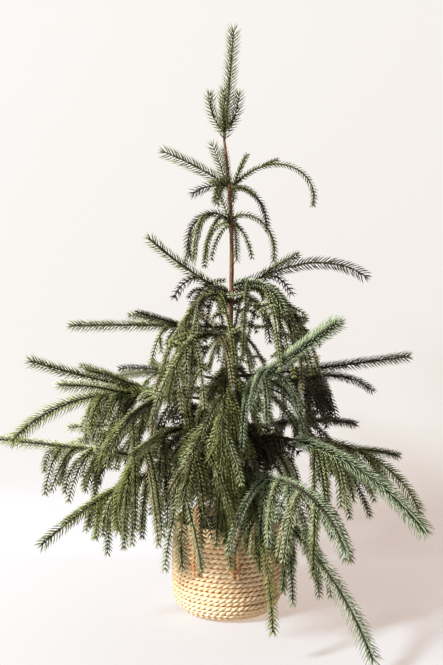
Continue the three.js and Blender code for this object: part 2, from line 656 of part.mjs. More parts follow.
for (const bough of boughs) {
  if (bough.bare) addPiece(`bough_${bough.name}`, boughGeometry(bough), "bark");
  addPiece(`foliage_${bough.name}`, foliageGeometry(bough), "needles");
}

// The leading shoot stands on the trunk's tip, raised so that its leaning cut stays clear

function leaderGeometry() {
  const leaningCut = TRUNK_TIP_RADIUS * Math.cos(radians(LEADER.rise));
  const start = trunkCentre(TRUNK_TOP).setZ(TRUNK_TOP + SEAT_GAP + leaningCut);
  const stem = { ...LEADER, start };
  let solid = stemSolid(stem, pathOf(stem), 0, TRUNK_TIP_RADIUS, LEADER.reach);
  const sideFoot = start.clone().setZ(start.z + LEADER_SIDE_HEIGHT);
  for (const azimuth of LEADER_SIDE_AZIMUTHS) {
    const side = { ...LEADER_SIDES, start: sideFoot, azimuth };
    solid = solid.add(stemSolid(side, pathOf(side), 0, TWIG_RADIUS, LEADER_SIDES.reach));
  }
  return geometryOfSolid(solid);
}

addPiece("foliage_8_leader", leaderGeometry(), "needles");

export default plant;
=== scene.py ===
import math

import bpy
import numpy as np
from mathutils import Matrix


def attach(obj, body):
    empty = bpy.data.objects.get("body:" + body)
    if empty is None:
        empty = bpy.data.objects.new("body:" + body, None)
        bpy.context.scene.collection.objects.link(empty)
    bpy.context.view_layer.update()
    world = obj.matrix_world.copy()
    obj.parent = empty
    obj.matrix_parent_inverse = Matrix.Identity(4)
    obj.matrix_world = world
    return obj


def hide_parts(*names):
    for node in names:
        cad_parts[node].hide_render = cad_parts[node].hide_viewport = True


# The frame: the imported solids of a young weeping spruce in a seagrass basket, in metres,
# with the origin under the middle of the basket and the front of the plant towards -Y.
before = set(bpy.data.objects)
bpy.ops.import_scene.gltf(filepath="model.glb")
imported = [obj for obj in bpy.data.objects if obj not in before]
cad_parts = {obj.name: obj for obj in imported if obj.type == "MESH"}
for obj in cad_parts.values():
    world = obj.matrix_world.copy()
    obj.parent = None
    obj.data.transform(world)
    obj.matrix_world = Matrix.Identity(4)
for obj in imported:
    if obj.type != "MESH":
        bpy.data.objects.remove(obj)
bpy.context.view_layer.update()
bpy.ops.object.select_all(action="DESELECT")


# Basket wall and base
# A round cup of dried seagrass. A two-ply twisted cord is wound up in close level rows, each
# row sewn to the one below it, and the base is the same cord coiled flat.
BASKET_HEIGHT = 0.257
BELLY_RADIUS = 0.156
BELLY_LEVEL = 0.120
RIM_RADIUS = 0.151
FOOT_RADIUS = 0.106
FOOT_CORNER = 0.058
FOOT_SHORTFALL = 0.001
FOOT_POINTS, WALL_POINTS = 60, 80
CORD_PITCH = 0.0129
CORD_LAY = 0.0029
CORD_PLY = 0.0043
CORD_TWIST = 0.033
CORD_STEPS = 10
CORD_SIDES = 5
CORD_RADIUS = CORD_LAY + CORD_PLY
CORD_SWELL = 0.1
CORD_SWELL_COUNTS = (9, 31)
CORD_SEED = 11
ANY_PHASE = (0, 6)
WALL_TINTS = (0.1, 0.07)
BASE_TINTS = (0.06, 0.06)
BASE_FACING = np.array([0.0, -1.0])
SEAGRASS_STOPS = [(0.2, (200, 152, 108)), (0.42, (226, 195, 154)), (0.62, (239, 217, 184)),
                  (0.9, (246, 234, 208))]
FIBRE_CONTRAST = 0.9


def basket_profile():
    """Points (radius, level) up the outside of the basket, close together."""
    turn = np.linspace(0, math.pi / 2, FOOT_POINTS)
    foot_width = BELLY_RADIUS - FOOT_RADIUS - FOOT_SHORTFALL
    foot = np.column_stack([FOOT_RADIUS + foot_width * np.sin(turn), FOOT_CORNER * (1 - np.cos(turn))])
    level = np.linspace(FOOT_CORNER, BASKET_HEIGHT, WALL_POINTS)[1:]
    above = (level - BELLY_LEVEL) / (BASKET_HEIGHT - BELLY_LEVEL)
    wall = np.column_stack([BELLY_RADIUS - (BELLY_RADIUS - RIM_RADIUS) * above * np.abs(above), level])
    return np.concatenate([foot, wall])


def unit(ways):
    return ways / np.linalg.norm(ways, axis=1)[:, None]


def run_along(line):
    """How far along a line each of its points is."""
    return np.concatenate([[0], np.cumsum(np.linalg.norm(np.diff(line, axis=0), axis=1))])


def read_off(stops, run, values):
    """Values known at each point of a line, read off at other stops along it."""
    return np.column_stack([np.interp(stops, run, column) for column in values.T])


def inset_profile(depth, spacing):
    """The profile moved in by depth, in equal steps of about the given spacing, and its outward ways."""
    line = basket_profile()
    along = unit(np.gradient(line, axis=0))
    outward = np.column_stack([along[:, 1], -along[:, 0]])
    run = run_along(line)
    stops = np.linspace(0.5 * spacing, run[-1] - 0.5 * spacing, round(run[-1] / spacing))
    return read_off(stops, run, line - depth * outward), read_off(stops, run, outward)


def sweep(centres, across, upward, radii, sides, closed):
    """Skin of a strand: its points, its four-cornered faces and their places along and round it."""
    count = len(centres)
    turn = 2 * math.pi * np.arange(sides) / sides
    ring = (np.cos(turn)[None, :, None] * across[:, None, :]
            + np.sin(turn)[None, :, None] * upward[:, None, :])
    points = centres[:, None, :] + radii[:, None, None] * ring
    first = np.arange(count if closed else count - 1)[:, None]
    corner = np.arange(sides)[None, :]
    after, beside = (first + 1) % count, (corner + 1) % sides
    faces = np.stack([first * sides + corner, first * sides + beside,
                      after * sides + beside, after * sides + corner], axis=-1)
    step = np.linalg.norm(np.diff(centres, axis=0, append=centres[:1]), axis=1)
    run = np.concatenate([[0], np.cumsum(step)])
    shape = faces.shape[:2]
    u0, u1 = np.broadcast_to(run[first], shape), np.broadcast_to(run[first + 1], shape)
    v0, v1 = np.broadcast_to(corner / sides, shape), np.broadcast_to((corner + 1) / sides, shape)
    places = np.stack([np.stack([u0, v0], -1), np.stack([u0, v1], -1),
                       np.stack([u1, v1], -1), np.stack([u1, v0], -1)], axis=2)
    return points.reshape(-1, 3), faces.reshape(-1, 4), places.reshape(-1, 2)


def array_mesh(name, points, faces):
    """A mesh from its points and its faces, which all have the same number of corners."""
    mesh = bpy.data.meshes.new(name)
    mesh.vertices.add(len(points))
    mesh.vertices.foreach_set("co", points.astype(np.float32).ravel())
    mesh.loops.add(faces.size)
    mesh.loops.foreach_set("vertex_index", faces.astype(np.int32).ravel())
    mesh.polygons.add(len(faces))
    mesh.polygons.foreach_set("loop_start", np.arange(0, faces.size, faces.shape[1], dtype=np.int32))
    return mesh


def give_values(mesh, name, values):
    """Stores a value at each point of a mesh for its material to read."""
    mesh.attributes.new(name, "FLOAT", "POINT").data.foreach_set("value", values.astype(np.float32))


def add_piece(name, shape):
    """Puts a mesh or a curve into the scene, at the origin."""
    piece = bpy.data.objects.new(name, shape)
    bpy.context.scene.collection.objects.link(piece)
    return piece


def strands_piece(name, strands, tints):
    """One joined mesh of swept strands, each with its own value of the attribute tint."""
    points, faces, places = zip(*strands)
    sizes = [len(strand_points) for strand_points in points]
    starts = np.cumsum([0] + sizes[:-1])
    faces = np.concatenate([strand_faces + start for strand_faces, start in zip(faces, starts)])
    mesh = array_mesh(name, np.concatenate(points), faces)
    mesh.uv_layers.new(name="strand").data.foreach_set(
        "uv", np.concatenate(places).astype(np.float32).ravel())
    give_values(mesh, "tint", np.repeat(tints, sizes))
    mesh.update(calc_edges=True)
    mesh.shade_smooth()
    return add_piece(name, mesh)


def twisted_ring(middle, outward, chance):
    """The two plies of one closed row of cord round the basket."""
    phase = chance.uniform(*ANY_PHASE)
    turns = max(2, round(2 * math.pi * middle[0] / CORD_TWIST))
    angle = np.linspace(0, 2 * math.pi, turns * CORD_STEPS, endpoint=False)
    radial = np.column_stack([np.cos(angle), np.sin(angle), np.zeros_like(angle)])
    out = radial * outward[0] + np.array([0, 0, outward[1]])
    up = radial * -outward[1] + np.array([0, 0, outward[0]])
    line = radial * middle[0] + np.array([0, 0, middle[1]])
    plies = []
    for ply in range(2):
        twist = (turns * angle + phase + math.pi * ply)[:, None]
        swells = chance.integers(*CORD_SWELL_COUNTS)
        uneven = 1 + CORD_SWELL * np.sin(angle * swells + chance.uniform(*ANY_PHASE))
        centres = line + CORD_LAY * (np.cos(twist) * out + np.sin(twist) * up)
        plies.append(sweep(centres, up, out, CORD_PLY * uneven, CORD_SIDES, True))
    return plies


def link_group(name, inputs, outputs):
    """An empty shader node group with the given sockets, and its two end nodes."""
    group = bpy.data.node_groups.new(name, "ShaderNodeTree")
    for socket, kind in inputs:
        group.interface.new_socket(socket, in_out="INPUT", socket_type=kind)
    for socket, kind in outputs:
        group.interface.new_socket(socket, in_out="OUTPUT", socket_type=kind)
    return group, group.nodes.new("NodeGroupInput"), group.nodes.new("NodeGroupOutput")


def set_inputs(tree, node, inputs):
    """Gives inputs of a node their values, or joins them to outputs of other nodes."""
    for name, source in inputs.items():
        if isinstance(source, bpy.types.NodeSocket):
            tree.links.new(source, node.inputs[name])
        else:
            node.inputs[name].default_value = source


def add_node(tree, kind, inputs, **settings):
    """A new shader node with its settings and its inputs."""
    node = tree.nodes.new("ShaderNode" + kind)
    for name, value in settings.items():
        setattr(node, name, value)
    set_inputs(tree, node, inputs)
    return node


def fibre_group():
    """Fine fibres that run along a strand, from the strand's own places along and round it."""
    group, start, end = link_group(
        "strand_fibres",
        [("Place", "NodeSocketVector"), ("Stretch", "NodeSocketVector")],
        [("Fibre", "NodeSocketFloat")])
    scaled = add_node(group, "VectorMath", {0: start.outputs["Place"], 1: start.outputs["Stretch"]},
                      operation="MULTIPLY")
    noise = add_node(group, "TexNoise", {"Vector": scaled.outputs[0], "Scale": 1.0, "Detail": 3.0})
    set_inputs(group, end, {"Fibre": noise.outputs["Fac"]})
    return group


STRAND_FIBRES = fibre_group()


def linear(red, green, blue):
    """A colour picked as screen values from 0 to 255, as the shader takes it."""
    return tuple((c / 255 / 12.92 if c < 10.3 else ((c / 255 + 0.055) / 1.055) ** 2.4)
                 for c in (red, green, blue)) + (1.0,)


def colour_ramp(tree, place, stops):
    """A ramp node through (position, colour) stops."""
    ramp = add_node(tree, "ValToRGB", {"Fac": place})
    for _ in range(len(stops) - 2):
        ramp.color_ramp.elements.new(0.5)
    for element, (position, colour) in zip(ramp.color_ramp.elements, stops):
        element.position = position
        element.color = linear(*colour)
    return ramp


def new_finish(name, roughness):
    """A material of the given roughness, with its node tree and its shader."""
    material = bpy.data.materials.new(name)
    material.use_nodes = True
    shader = material.node_tree.nodes["Principled BSDF"]
    shader.inputs["Roughness"].default_value = roughness
    return material, material.node_tree, shader


def grass_finish(name, stops, stretch, fibre_depth, roughness):
    """Dried grass strands: a tint for each strand, streaked along its fibres."""
    material, tree, shader = new_finish(name, roughness)
    place = add_node(tree, "UVMap", {}, uv_map="strand")
    fibres = add_node(tree, "Group", {"Place": place.outputs["UV"], "Stretch": stretch},
                      node_tree=STRAND_FIBRES)
    tint = add_node(tree, "Attribute", {}, attribute_name="tint")
    streaks = add_node(tree, "Math", {0: fibres.outputs["Fibre"], 1: FIBRE_CONTRAST,
                                      2: tint.outputs["Fac"]}, operation="MULTIPLY_ADD")
    ramp = colour_ramp(tree, streaks.outputs[0], stops)
    bump = add_node(tree, "Bump", {"Strength": 0.6, "Distance": fibre_depth,
                                   "Height": fibres.outputs["Fibre"]})
    set_inputs(tree, shader, {"Specular IOR Level": 0.3, "Base Color": ramp.outputs["Color"],
                              "Normal": bump.outputs["Normal"]})
    return material


seagrass = grass_finish("dried_seagrass", SEAGRASS_STOPS, stretch=(90, 9, 1), fibre_depth=0.0006,
                        roughness=0.72)

chance = np.random.default_rng(CORD_SEED)
wall_strands = []
for middle, outward in zip(*inset_profile(CORD_RADIUS, CORD_PITCH)):
    wall_strands += twisted_ring(middle, outward, chance)
basket_wall = strands_piece("basket_wall", wall_strands, chance.normal(*WALL_TINTS, len(wall_strands)))
basket_wall.data.materials.append(seagrass)
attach(basket_wall, "root")
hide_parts("basket")

base_strands = []
for radius in np.arange(FOOT_RADIUS - 0.5 * CORD_PITCH, CORD_RADIUS, -CORD_PITCH):
    base_strands += twisted_ring(np.array([radius, CORD_RADIUS]), BASE_FACING, chance)
basket_base = strands_piece("basket_base", base_strands, chance.normal(*BASE_TINTS, len(base_strands)))
basket_base.data.materials.append(seagrass)
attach(basket_base, "root")


# Basket lining
# A plain woven cup inside the rows of cord, which closes the gaps between them. Its darker tan
# is painted shade, seen through the gaps between the rows. It is drawn up from a flat disc, ring
# by ring, and then given its thickness.
LINING_DEPTH = 0.0086
LINING_THICKNESS = 0.003
LINING_STEP = 0.021
LINING_SIDES = 96
LINING_CREASE = 40


def on_axis(levels):
    """Places at the given levels on the upright line through the middle of the basket."""
    return [np.array([0, 0, level]) for level in levels]


def flat_disc(name, sides, radius, place):
    """The start of a round piece: a filled disc, open for edit."""
    bpy.ops.object.select_all(action="DESELECT")
    bpy.ops.mesh.primitive_circle_add(vertices=sides, radius=radius, fill_type="NGON", location=place)
    piece = bpy.context.object
    piece.name = name
    bpy.ops.object.mode_set(mode="EDIT")
    return piece


def draw_up(places, radii):
    """Draws the selected face up through the places, ring by ring, to the radius at each."""
    for k in range(1, len(places)):
        step = places[k] - places[k - 1]
        widen = radii[k] / radii[k - 1]
        bpy.ops.mesh.extrude_region_move(TRANSFORM_OT_translate={"value": tuple(step)})
        bpy.ops.transform.resize(value=(widen, widen, 1), center_override=tuple(places[k]))


def close_edit():
    """Ends the edit of a drawn piece: its faces point outwards and its place is in its mesh."""
    bpy.ops.mesh.select_all(action="SELECT")
    bpy.ops.mesh.normals_make_consistent(inside=False)
    bpy.ops.object.mode_set(mode="OBJECT")
    bpy.ops.object.transform_apply(location=True, rotation=True, scale=True)


lining_radii, lining_levels = inset_profile(LINING_DEPTH, LINING_STEP)[0].T
lining_places = on_axis(lining_levels)
basket_lining = flat_disc("basket_lining", LINING_SIDES, lining_radii[0], lining_places[0])
draw_up(lining_places, lining_radii)
bpy.ops.mesh.delete(type="ONLY_FACE")
close_edit()
thickness = basket_lining.modifiers.new("thickness", "SOLIDIFY")
thickness.thickness = LINING_THICKNESS
thickness.offset = -1
bpy.ops.object.modifier_apply(modifier="thickness")
bpy.ops.object.shade_smooth_by_angle(angle=math.radians(LINING_CREASE))


def uneven_group():
    """Two colours mixed in soft patches of the given size, with the patches as a mask too."""
    group, start, end = link_group(
        "uneven_tint",
        [("Light", "NodeSocketColor"), ("Dark", "NodeSocketColor"), ("Scale", "NodeSocketFloat"),
         ("Stretch", "NodeSocketVector")],
        [("Color", "NodeSocketColor"), ("Patch", "NodeSocketFloat")])
    place = add_node(group, "TexCoord", {})
    scaled = add_node(group, "VectorMath", {0: place.outputs["Object"], 1: start.outputs["Stretch"]},
                      operation="MULTIPLY")
    noise = add_node(group, "TexNoise", {"Vector": scaled.outputs[0], "Scale": start.outputs["Scale"],
                                         "Detail": 5.0, "Roughness": 0.62})
    steep = add_node(group, "MapRange", {"Value": noise.outputs["Fac"], "From Min": 0.3, "From Max": 0.7})
    mix = add_node(group, "Mix", {"Factor": steep.outputs["Result"], "A": start.outputs["Dark"],
                                  "B": start.outputs["Light"]}, data_type="RGBA")
    set_inputs(group, end, {"Color": mix.outputs["Result"], "Patch": steep.outputs["Result"]})
    return group


UNEVEN_TINT = uneven_group()


def uneven_finish(name, light, dark, scale, stretch, roughness, raised):
    """A grown or earthy surface: two colours in patches, with the light patches raised."""
    material, tree, shader = new_finish(name, roughness)
    patches = add_node(tree, "Group", {"Light": linear(*light), "Dark": linear(*dark), "Scale": scale,
                                       "Stretch": stretch}, node_tree=UNEVEN_TINT, name="patches")
    set_inputs(tree, shader, {"Base Color": patches.outputs["Color"]})
    if raised:
        bump = add_node(tree, "Bump", {"Strength": 0.8, "Distance": raised,
                                       "Height": patches.outputs["Patch"]})
        set_inputs(tree, shader, {"Normal": bump.outputs["Normal"]})
    return material


# Darker than the cord: painted shade for the gaps between the rows.
lining_gap_shade_weave = uneven_finish("lining_gap_shade_weave", light=(216, 170, 118), dark=(176, 128, 82), scale=160,
                             stretch=(1, 1, 3), roughness=0.85, raised=0.0008)
basket_lining.data.materials.append(lining_gap_shade_weave)
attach(basket_lining, "root")


# Handles
# Two loops of paired grass rope. In each pair one rope is twisted to the left and one to the
# right, the legs lie on the wall, and their ends are tucked in between the rows of cord.
HANDLE_SPAN = 0.108
HANDLE_RISE = 0.100
HANDLE_LEG_FOOT = 0.138
HANDLE_SEAT = 0.0055
HANDLE_HALF_TURN = math.asin(HANDLE_SPAN / 2 / (BELLY_RADIUS + HANDLE_SEAT))
HANDLE_FULLNESS = 0.8
HANDLE_AZIMUTHS = {"front": 258, "back": 78}
ROPE_APART = 0.0122
ROPE_LAY = 0.0027
ROPE_PLY = 0.0034
ROPE_TWIST = 0.022
ROPE_SIDES = 6
ROPE_SWELL = 0.08
ROPE_SWELLS_PER_METRE = 140
ROPE_END_SHARE = 0.2
ROPE_TINTS = (0.12, 0.05)
ROPE_STOPS = [(0.2, (162, 110, 72)), (0.42, (206, 162, 120)), (0.65, (228, 194, 152)),
              (0.95, (240, 216, 180))]
TUCK_DEPTH = 0.014
TUCK_DROP = 0.009
TUCK_POINTS, LEG_POINTS, ARCH_POINTS = 5, 11, 41
HANDLE_STEP = 0.0026


def wall_radius(level):
    line = basket_profile()
    return np.interp(np.minimum(level, BASKET_HEIGHT), line[:, 1], line[:, 0])


def handle_line(azimuth):
    """Points along a handle from tucked end to tucked end, with the outward way and the run at each."""
    tuck = np.linspace(0, 1, TUCK_POINTS + 1)[:-1]
    leg = np.linspace(HANDLE_LEG_FOOT, BASKET_HEIGHT, LEG_POINTS + 1)[:-1]
    arch = np.pi * np.linspace(0, 1, ARCH_POINTS)
    leg_turn = np.full(TUCK_POINTS + LEG_POINTS, HANDLE_HALF_TURN)
    turn = np.concatenate([-leg_turn, -HANDLE_HALF_TURN * np.cos(arch), leg_turn])
    arch_level = BASKET_HEIGHT + HANDLE_RISE * np.sin(arch) ** HANDLE_FULLNESS
    tuck_level = HANDLE_LEG_FOOT - TUCK_DROP * np.cos(tuck * math.pi / 2)
    level = np.concatenate([tuck_level, leg, arch_level, leg[::-1], tuck_level[::-1]])
    tuck_in = TUCK_DEPTH * (1 - np.sin(tuck * math.pi / 2))
    sunk = np.concatenate([tuck_in, np.zeros(2 * LEG_POINTS + ARCH_POINTS), tuck_in[::-1]])
    angle = math.radians(azimuth) + turn
    radius = wall_radius(level) + HANDLE_SEAT - sunk
    points = np.column_stack([radius * np.cos(angle), radius * np.sin(angle), level])
    run = run_along(points)
    stops = np.linspace(0, run[-1], round(run[-1] / HANDLE_STEP))
    points = read_off(stops, run, points)
    return points, unit(points * np.array([1, 1, 0])), stops


def handle_strands(azimuth):
    """The plies of the two ropes of one handle."""
    points, out, stops = handle_line(azimuth)
    along = np.gradient(points, axis=0)
    across = unit(np.cross(along, out))
    outward = unit(np.cross(across, along))
    strands = []
    for rope_side in (-1, 1):
        middle = points + rope_side * ROPE_APART / 2 * across
        for ply in range(2):
            twist = (rope_side * 2 * math.pi * stops / ROPE_TWIST + math.pi * ply)[:, None]
            centres = middle + ROPE_LAY * (np.cos(twist) * across + np.sin(twist) * outward)
            uneven = 1 + ROPE_SWELL * np.sin(stops * ROPE_SWELLS_PER_METRE + 2 * ply + rope_side)
            uneven[[0, -1]] = ROPE_END_SHARE
            strands.append(sweep(centres, outward, across, ROPE_PLY * uneven, ROPE_SIDES, False))
    return strands


seagrass_rope = grass_finish("twisted_grass_rope", ROPE_STOPS, stretch=(110, 7, 1), fibre_depth=0.0007,
                             roughness=0.7)
for side, azimuth in HANDLE_AZIMUTHS.items():
    strands = handle_strands(azimuth)
    handle = strands_piece(f"handle_{side}_rope", strands, chance.normal(*ROPE_TINTS, len(strands)))
    handle.data.materials.append(seagrass_rope)
    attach(handle, "root")
    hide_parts(f"handle_{side}")


# Handle stitches
# Thin waxed cord that binds each pair of ropes to the wall, three turns at the foot of every
# leg and two turns just below the rim.
STITCH_RADIUS = 0.0012
STITCH_HALF_WIDTH = 0.0138
STITCH_HALF_DEPTH = 0.0082
STITCH_SLANT = 0.0012
STITCH_POINTS = 24
STITCH_SIDES = 5
STITCH_LEVELS = {0.152: 3, 0.230: 2}
STITCH_TINTS = (0.1, 0.06)
STITCH_STOPS = [(0.2, (160, 106, 70)), (0.6, (204, 154, 110)), (0.95, (222, 180, 136))]


def stitch_turns(angle, level, turns):
    """Closed turns of cord round a pair of ropes, one above the other."""
    out = np.array([math.cos(angle), math.sin(angle), 0])
    across = np.array([-math.sin(angle), math.cos(angle), 0])
    up = np.array([0, 0, 1.0])
    round_rope = np.linspace(0, 2 * math.pi, STITCH_POINTS, endpoint=False)[:, None]
    made = []
    for turn in range(turns):
        height = level + 2 * STITCH_RADIUS * turn
        middle = out * (wall_radius(height) + HANDLE_SEAT) + up * height
        ring = (middle + STITCH_HALF_WIDTH * np.cos(round_rope) * across
                + STITCH_HALF_DEPTH * np.sin(round_rope) * out
                + STITCH_SLANT * np.cos(round_rope) * up)
        thickness = np.full(STITCH_POINTS, STITCH_RADIUS)
        made.append(sweep(ring, up + 0 * ring, unit(ring - middle), thickness, STITCH_SIDES, True))
    return made


waxed_cord = grass_finish("waxed_stitch_cord", STITCH_STOPS, stretch=(200, 5, 1), fibre_depth=0.0003,
                          roughness=0.55)
leg_angle = math.degrees(HANDLE_HALF_TURN)
stitches = []
for azimuth in HANDLE_AZIMUTHS.values():
    for leg in (-leg_angle, leg_angle):
        for level, turns in STITCH_LEVELS.items():
            stitches += stitch_turns(math.radians(azimuth + leg), level, turns)
handle_stitches = strands_piece("handle_stitches", stitches, chance.normal(*STITCH_TINTS, len(stitches)))
handle_stitches.data.materials.append(waxed_cord)
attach(handle_stitches, "root")


# Soil
# Dark potting compost that fills the basket to two fingers' breadth below the rim. It is drawn
# up inside the lining, and its top is lumpy and heaped a little round the trunk.
SOIL_LEVEL = 0.224
SOIL_INSET = 0.0125
SOIL_FOOT = 0.012
SOIL_FOOT_RADIUS = FOOT_RADIUS - 0.004
SOIL_RING_LEVELS = (0.03, 0.058, 0.12, 0.19)
SOIL_SIDES = 64
SOIL_TOP_RINGS, SOIL_TOP_STEP = 10, 0.012
SOIL_TOP_MARGIN = 0.001
SOIL_HEAP, SOIL_HEAP_WIDTH = 0.006, 0.05
SOIL_LUMP = 0.0016
SMALL_LUMPS, BROAD_LUMPS = (140, 155), (61, 83)
SOIL_CREASE = 50

soil_levels = [SOIL_FOOT, *SOIL_RING_LEVELS, SOIL_LEVEL]
soil_radii = [SOIL_FOOT_RADIUS] + [float(wall_radius(level)) - SOIL_INSET for level in soil_levels[1:]]
soil_places = on_axis(soil_levels)
soil_bed = flat_disc("soil_bed", SOIL_SIDES, SOIL_FOOT_RADIUS, soil_places[0])
bpy.ops.mesh.select_all(action="SELECT")
bpy.ops.mesh.flip_normals()
draw_up(soil_places, soil_radii)
for _ in range(SOIL_TOP_RINGS):
    bpy.ops.mesh.inset(thickness=SOIL_TOP_STEP)
close_edit()
for vertex in soil_bed.data.vertices:
    x, y, z = vertex.co
    if z > SOIL_LEVEL - SOIL_TOP_MARGIN:
        small = math.sin(x * SMALL_LUMPS[0] + 1) * math.cos(y * SMALL_LUMPS[1])
        lumps = small + math.sin(x * BROAD_LUMPS[0] - y * BROAD_LUMPS[1])
        heap = math.exp(-(math.hypot(x, y) / SOIL_HEAP_WIDTH) ** 2)
        vertex.co.z += SOIL_HEAP * heap + SOIL_LUMP * lumps
bpy.ops.object.shade_smooth_by_angle(angle=math.radians(SOIL_CREASE))
compost = uneven_finish("dark_compost", light=(62, 46, 36), dark=(22, 16, 13), scale=220,
                        stretch=(1, 1, 1), roughness=0.95, raised=0.003)
soil_bed.data.materials.append(compost)
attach(soil_bed, "root")
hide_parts("soil")


# Trunk
# A slim straight stem with red-brown flaky bark and dark swollen knuckles where the rings of
# boughs leave it. It is drawn up from its root flare, level by level, then given its relief.
TRUNK_TOP = 1.308
TRUNK_BOW = 0.015
TRUNK_BOW_LATE = 2.2
TRUNK_TOP_BEND = -0.008
TRUNK_TOP_BEND_LATE = 4
TRUNK_FOOT_RADIUS = 0.011
TRUNK_TIP_RADIUS = 0.0034
ROOT_FLARE = 0.006
FLARE_HEIGHT = 0.028
KNUCKLE_LEVELS = [0.392, 0.470, 0.606, 0.758, 0.872, 1.062, 1.172]
KNUCKLE_GROWTH = 0.32
KNUCKLE_LENGTH = 0.011
TRUNK_STEPS = 150
TRUNK_SIDES = 22
TRUNK_LIFT = 0.0003
TRUNK_CREASE = 60


def trunk_share(level):
    return (level - SOIL_LEVEL) / (TRUNK_TOP - SOIL_LEVEL)


def trunk_centre(level):
    share = trunk_share(level)
    bow = TRUNK_BOW * math.sin(math.pi * max(0.0, share) ** TRUNK_BOW_LATE)
    return np.array([bow + TRUNK_TOP_BEND * share**TRUNK_TOP_BEND_LATE, 0, level])


def trunk_radius(level):
    flare = ROOT_FLARE * max(0.0, 1 - (level - SOIL_LEVEL) / FLARE_HEIGHT) ** 2
    swell = sum(math.exp(-((level - knuckle) / KNUCKLE_LENGTH) ** 2) for knuckle in KNUCKLE_LEVELS)
    straight = TRUNK_FOOT_RADIUS + (TRUNK_TIP_RADIUS - TRUNK_FOOT_RADIUS) * trunk_share(level)
    return straight * (1 + KNUCKLE_GROWTH * swell) + flare


def relief(piece, name, size, strength):
    """Raises and sinks a piece's surface in scales of the given size, for good."""
    pattern = bpy.data.textures.new(name, "CLOUDS")
    pattern.noise_scale = size
    rough = piece.modifiers.new(name, "DISPLACE")
    rough.texture = pattern
    rough.texture_coords = "LOCAL"
    rough.strength = strength
    rough.mid_level = 0.5
    bpy.context.view_layer.objects.active = piece
    bpy.ops.object.modifier_apply(modifier=name)


trunk_levels = np.linspace(SOIL_LEVEL + TRUNK_LIFT, TRUNK_TOP, TRUNK_STEPS)
trunk_places = [trunk_centre(level) for level in trunk_levels]
trunk_radii = [trunk_radius(level) for level in trunk_levels]
trunk = flat_disc("trunk_bark", TRUNK_SIDES, trunk_radii[0], trunk_places[0])
draw_up(trunk_places, trunk_radii)
close_edit()
relief(trunk, "bark_scales", size=0.009, strength=0.0022)
relief(trunk, "bark_flakes", size=0.003, strength=0.0009)
bpy.ops.object.shade_smooth_by_angle(angle=math.radians(TRUNK_CREASE))
trunk_bark = uneven_finish("flaky_red_bark", light=(152, 112, 82), dark=(70, 47, 35), scale=150,
                           stretch=(1, 1, 0.35), roughness=0.75, raised=0.0008)
trunk.data.materials.append(trunk_bark)
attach(trunk, "root")
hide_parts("trunk")


# Boughs
# Tapering limbs with dark scaly bark that grow out of the trunk in seven rings and arch over.
# Each is drawn as round wood along its arch, and the lower ones are bare near the trunk.
PATH_STEP = 0.010
LEAST_STEPS = 3
LIMB_RADIUS = 0.0032
LIMB_RADIUS_PER_LENGTH = 0.0042
LIMB_TAPER = 0.6
LIMB_ROUNDNESS = 3
LEAST_BARE_SHARE = 0.2
SHOOT_TIP_RADIUS = 0.0016
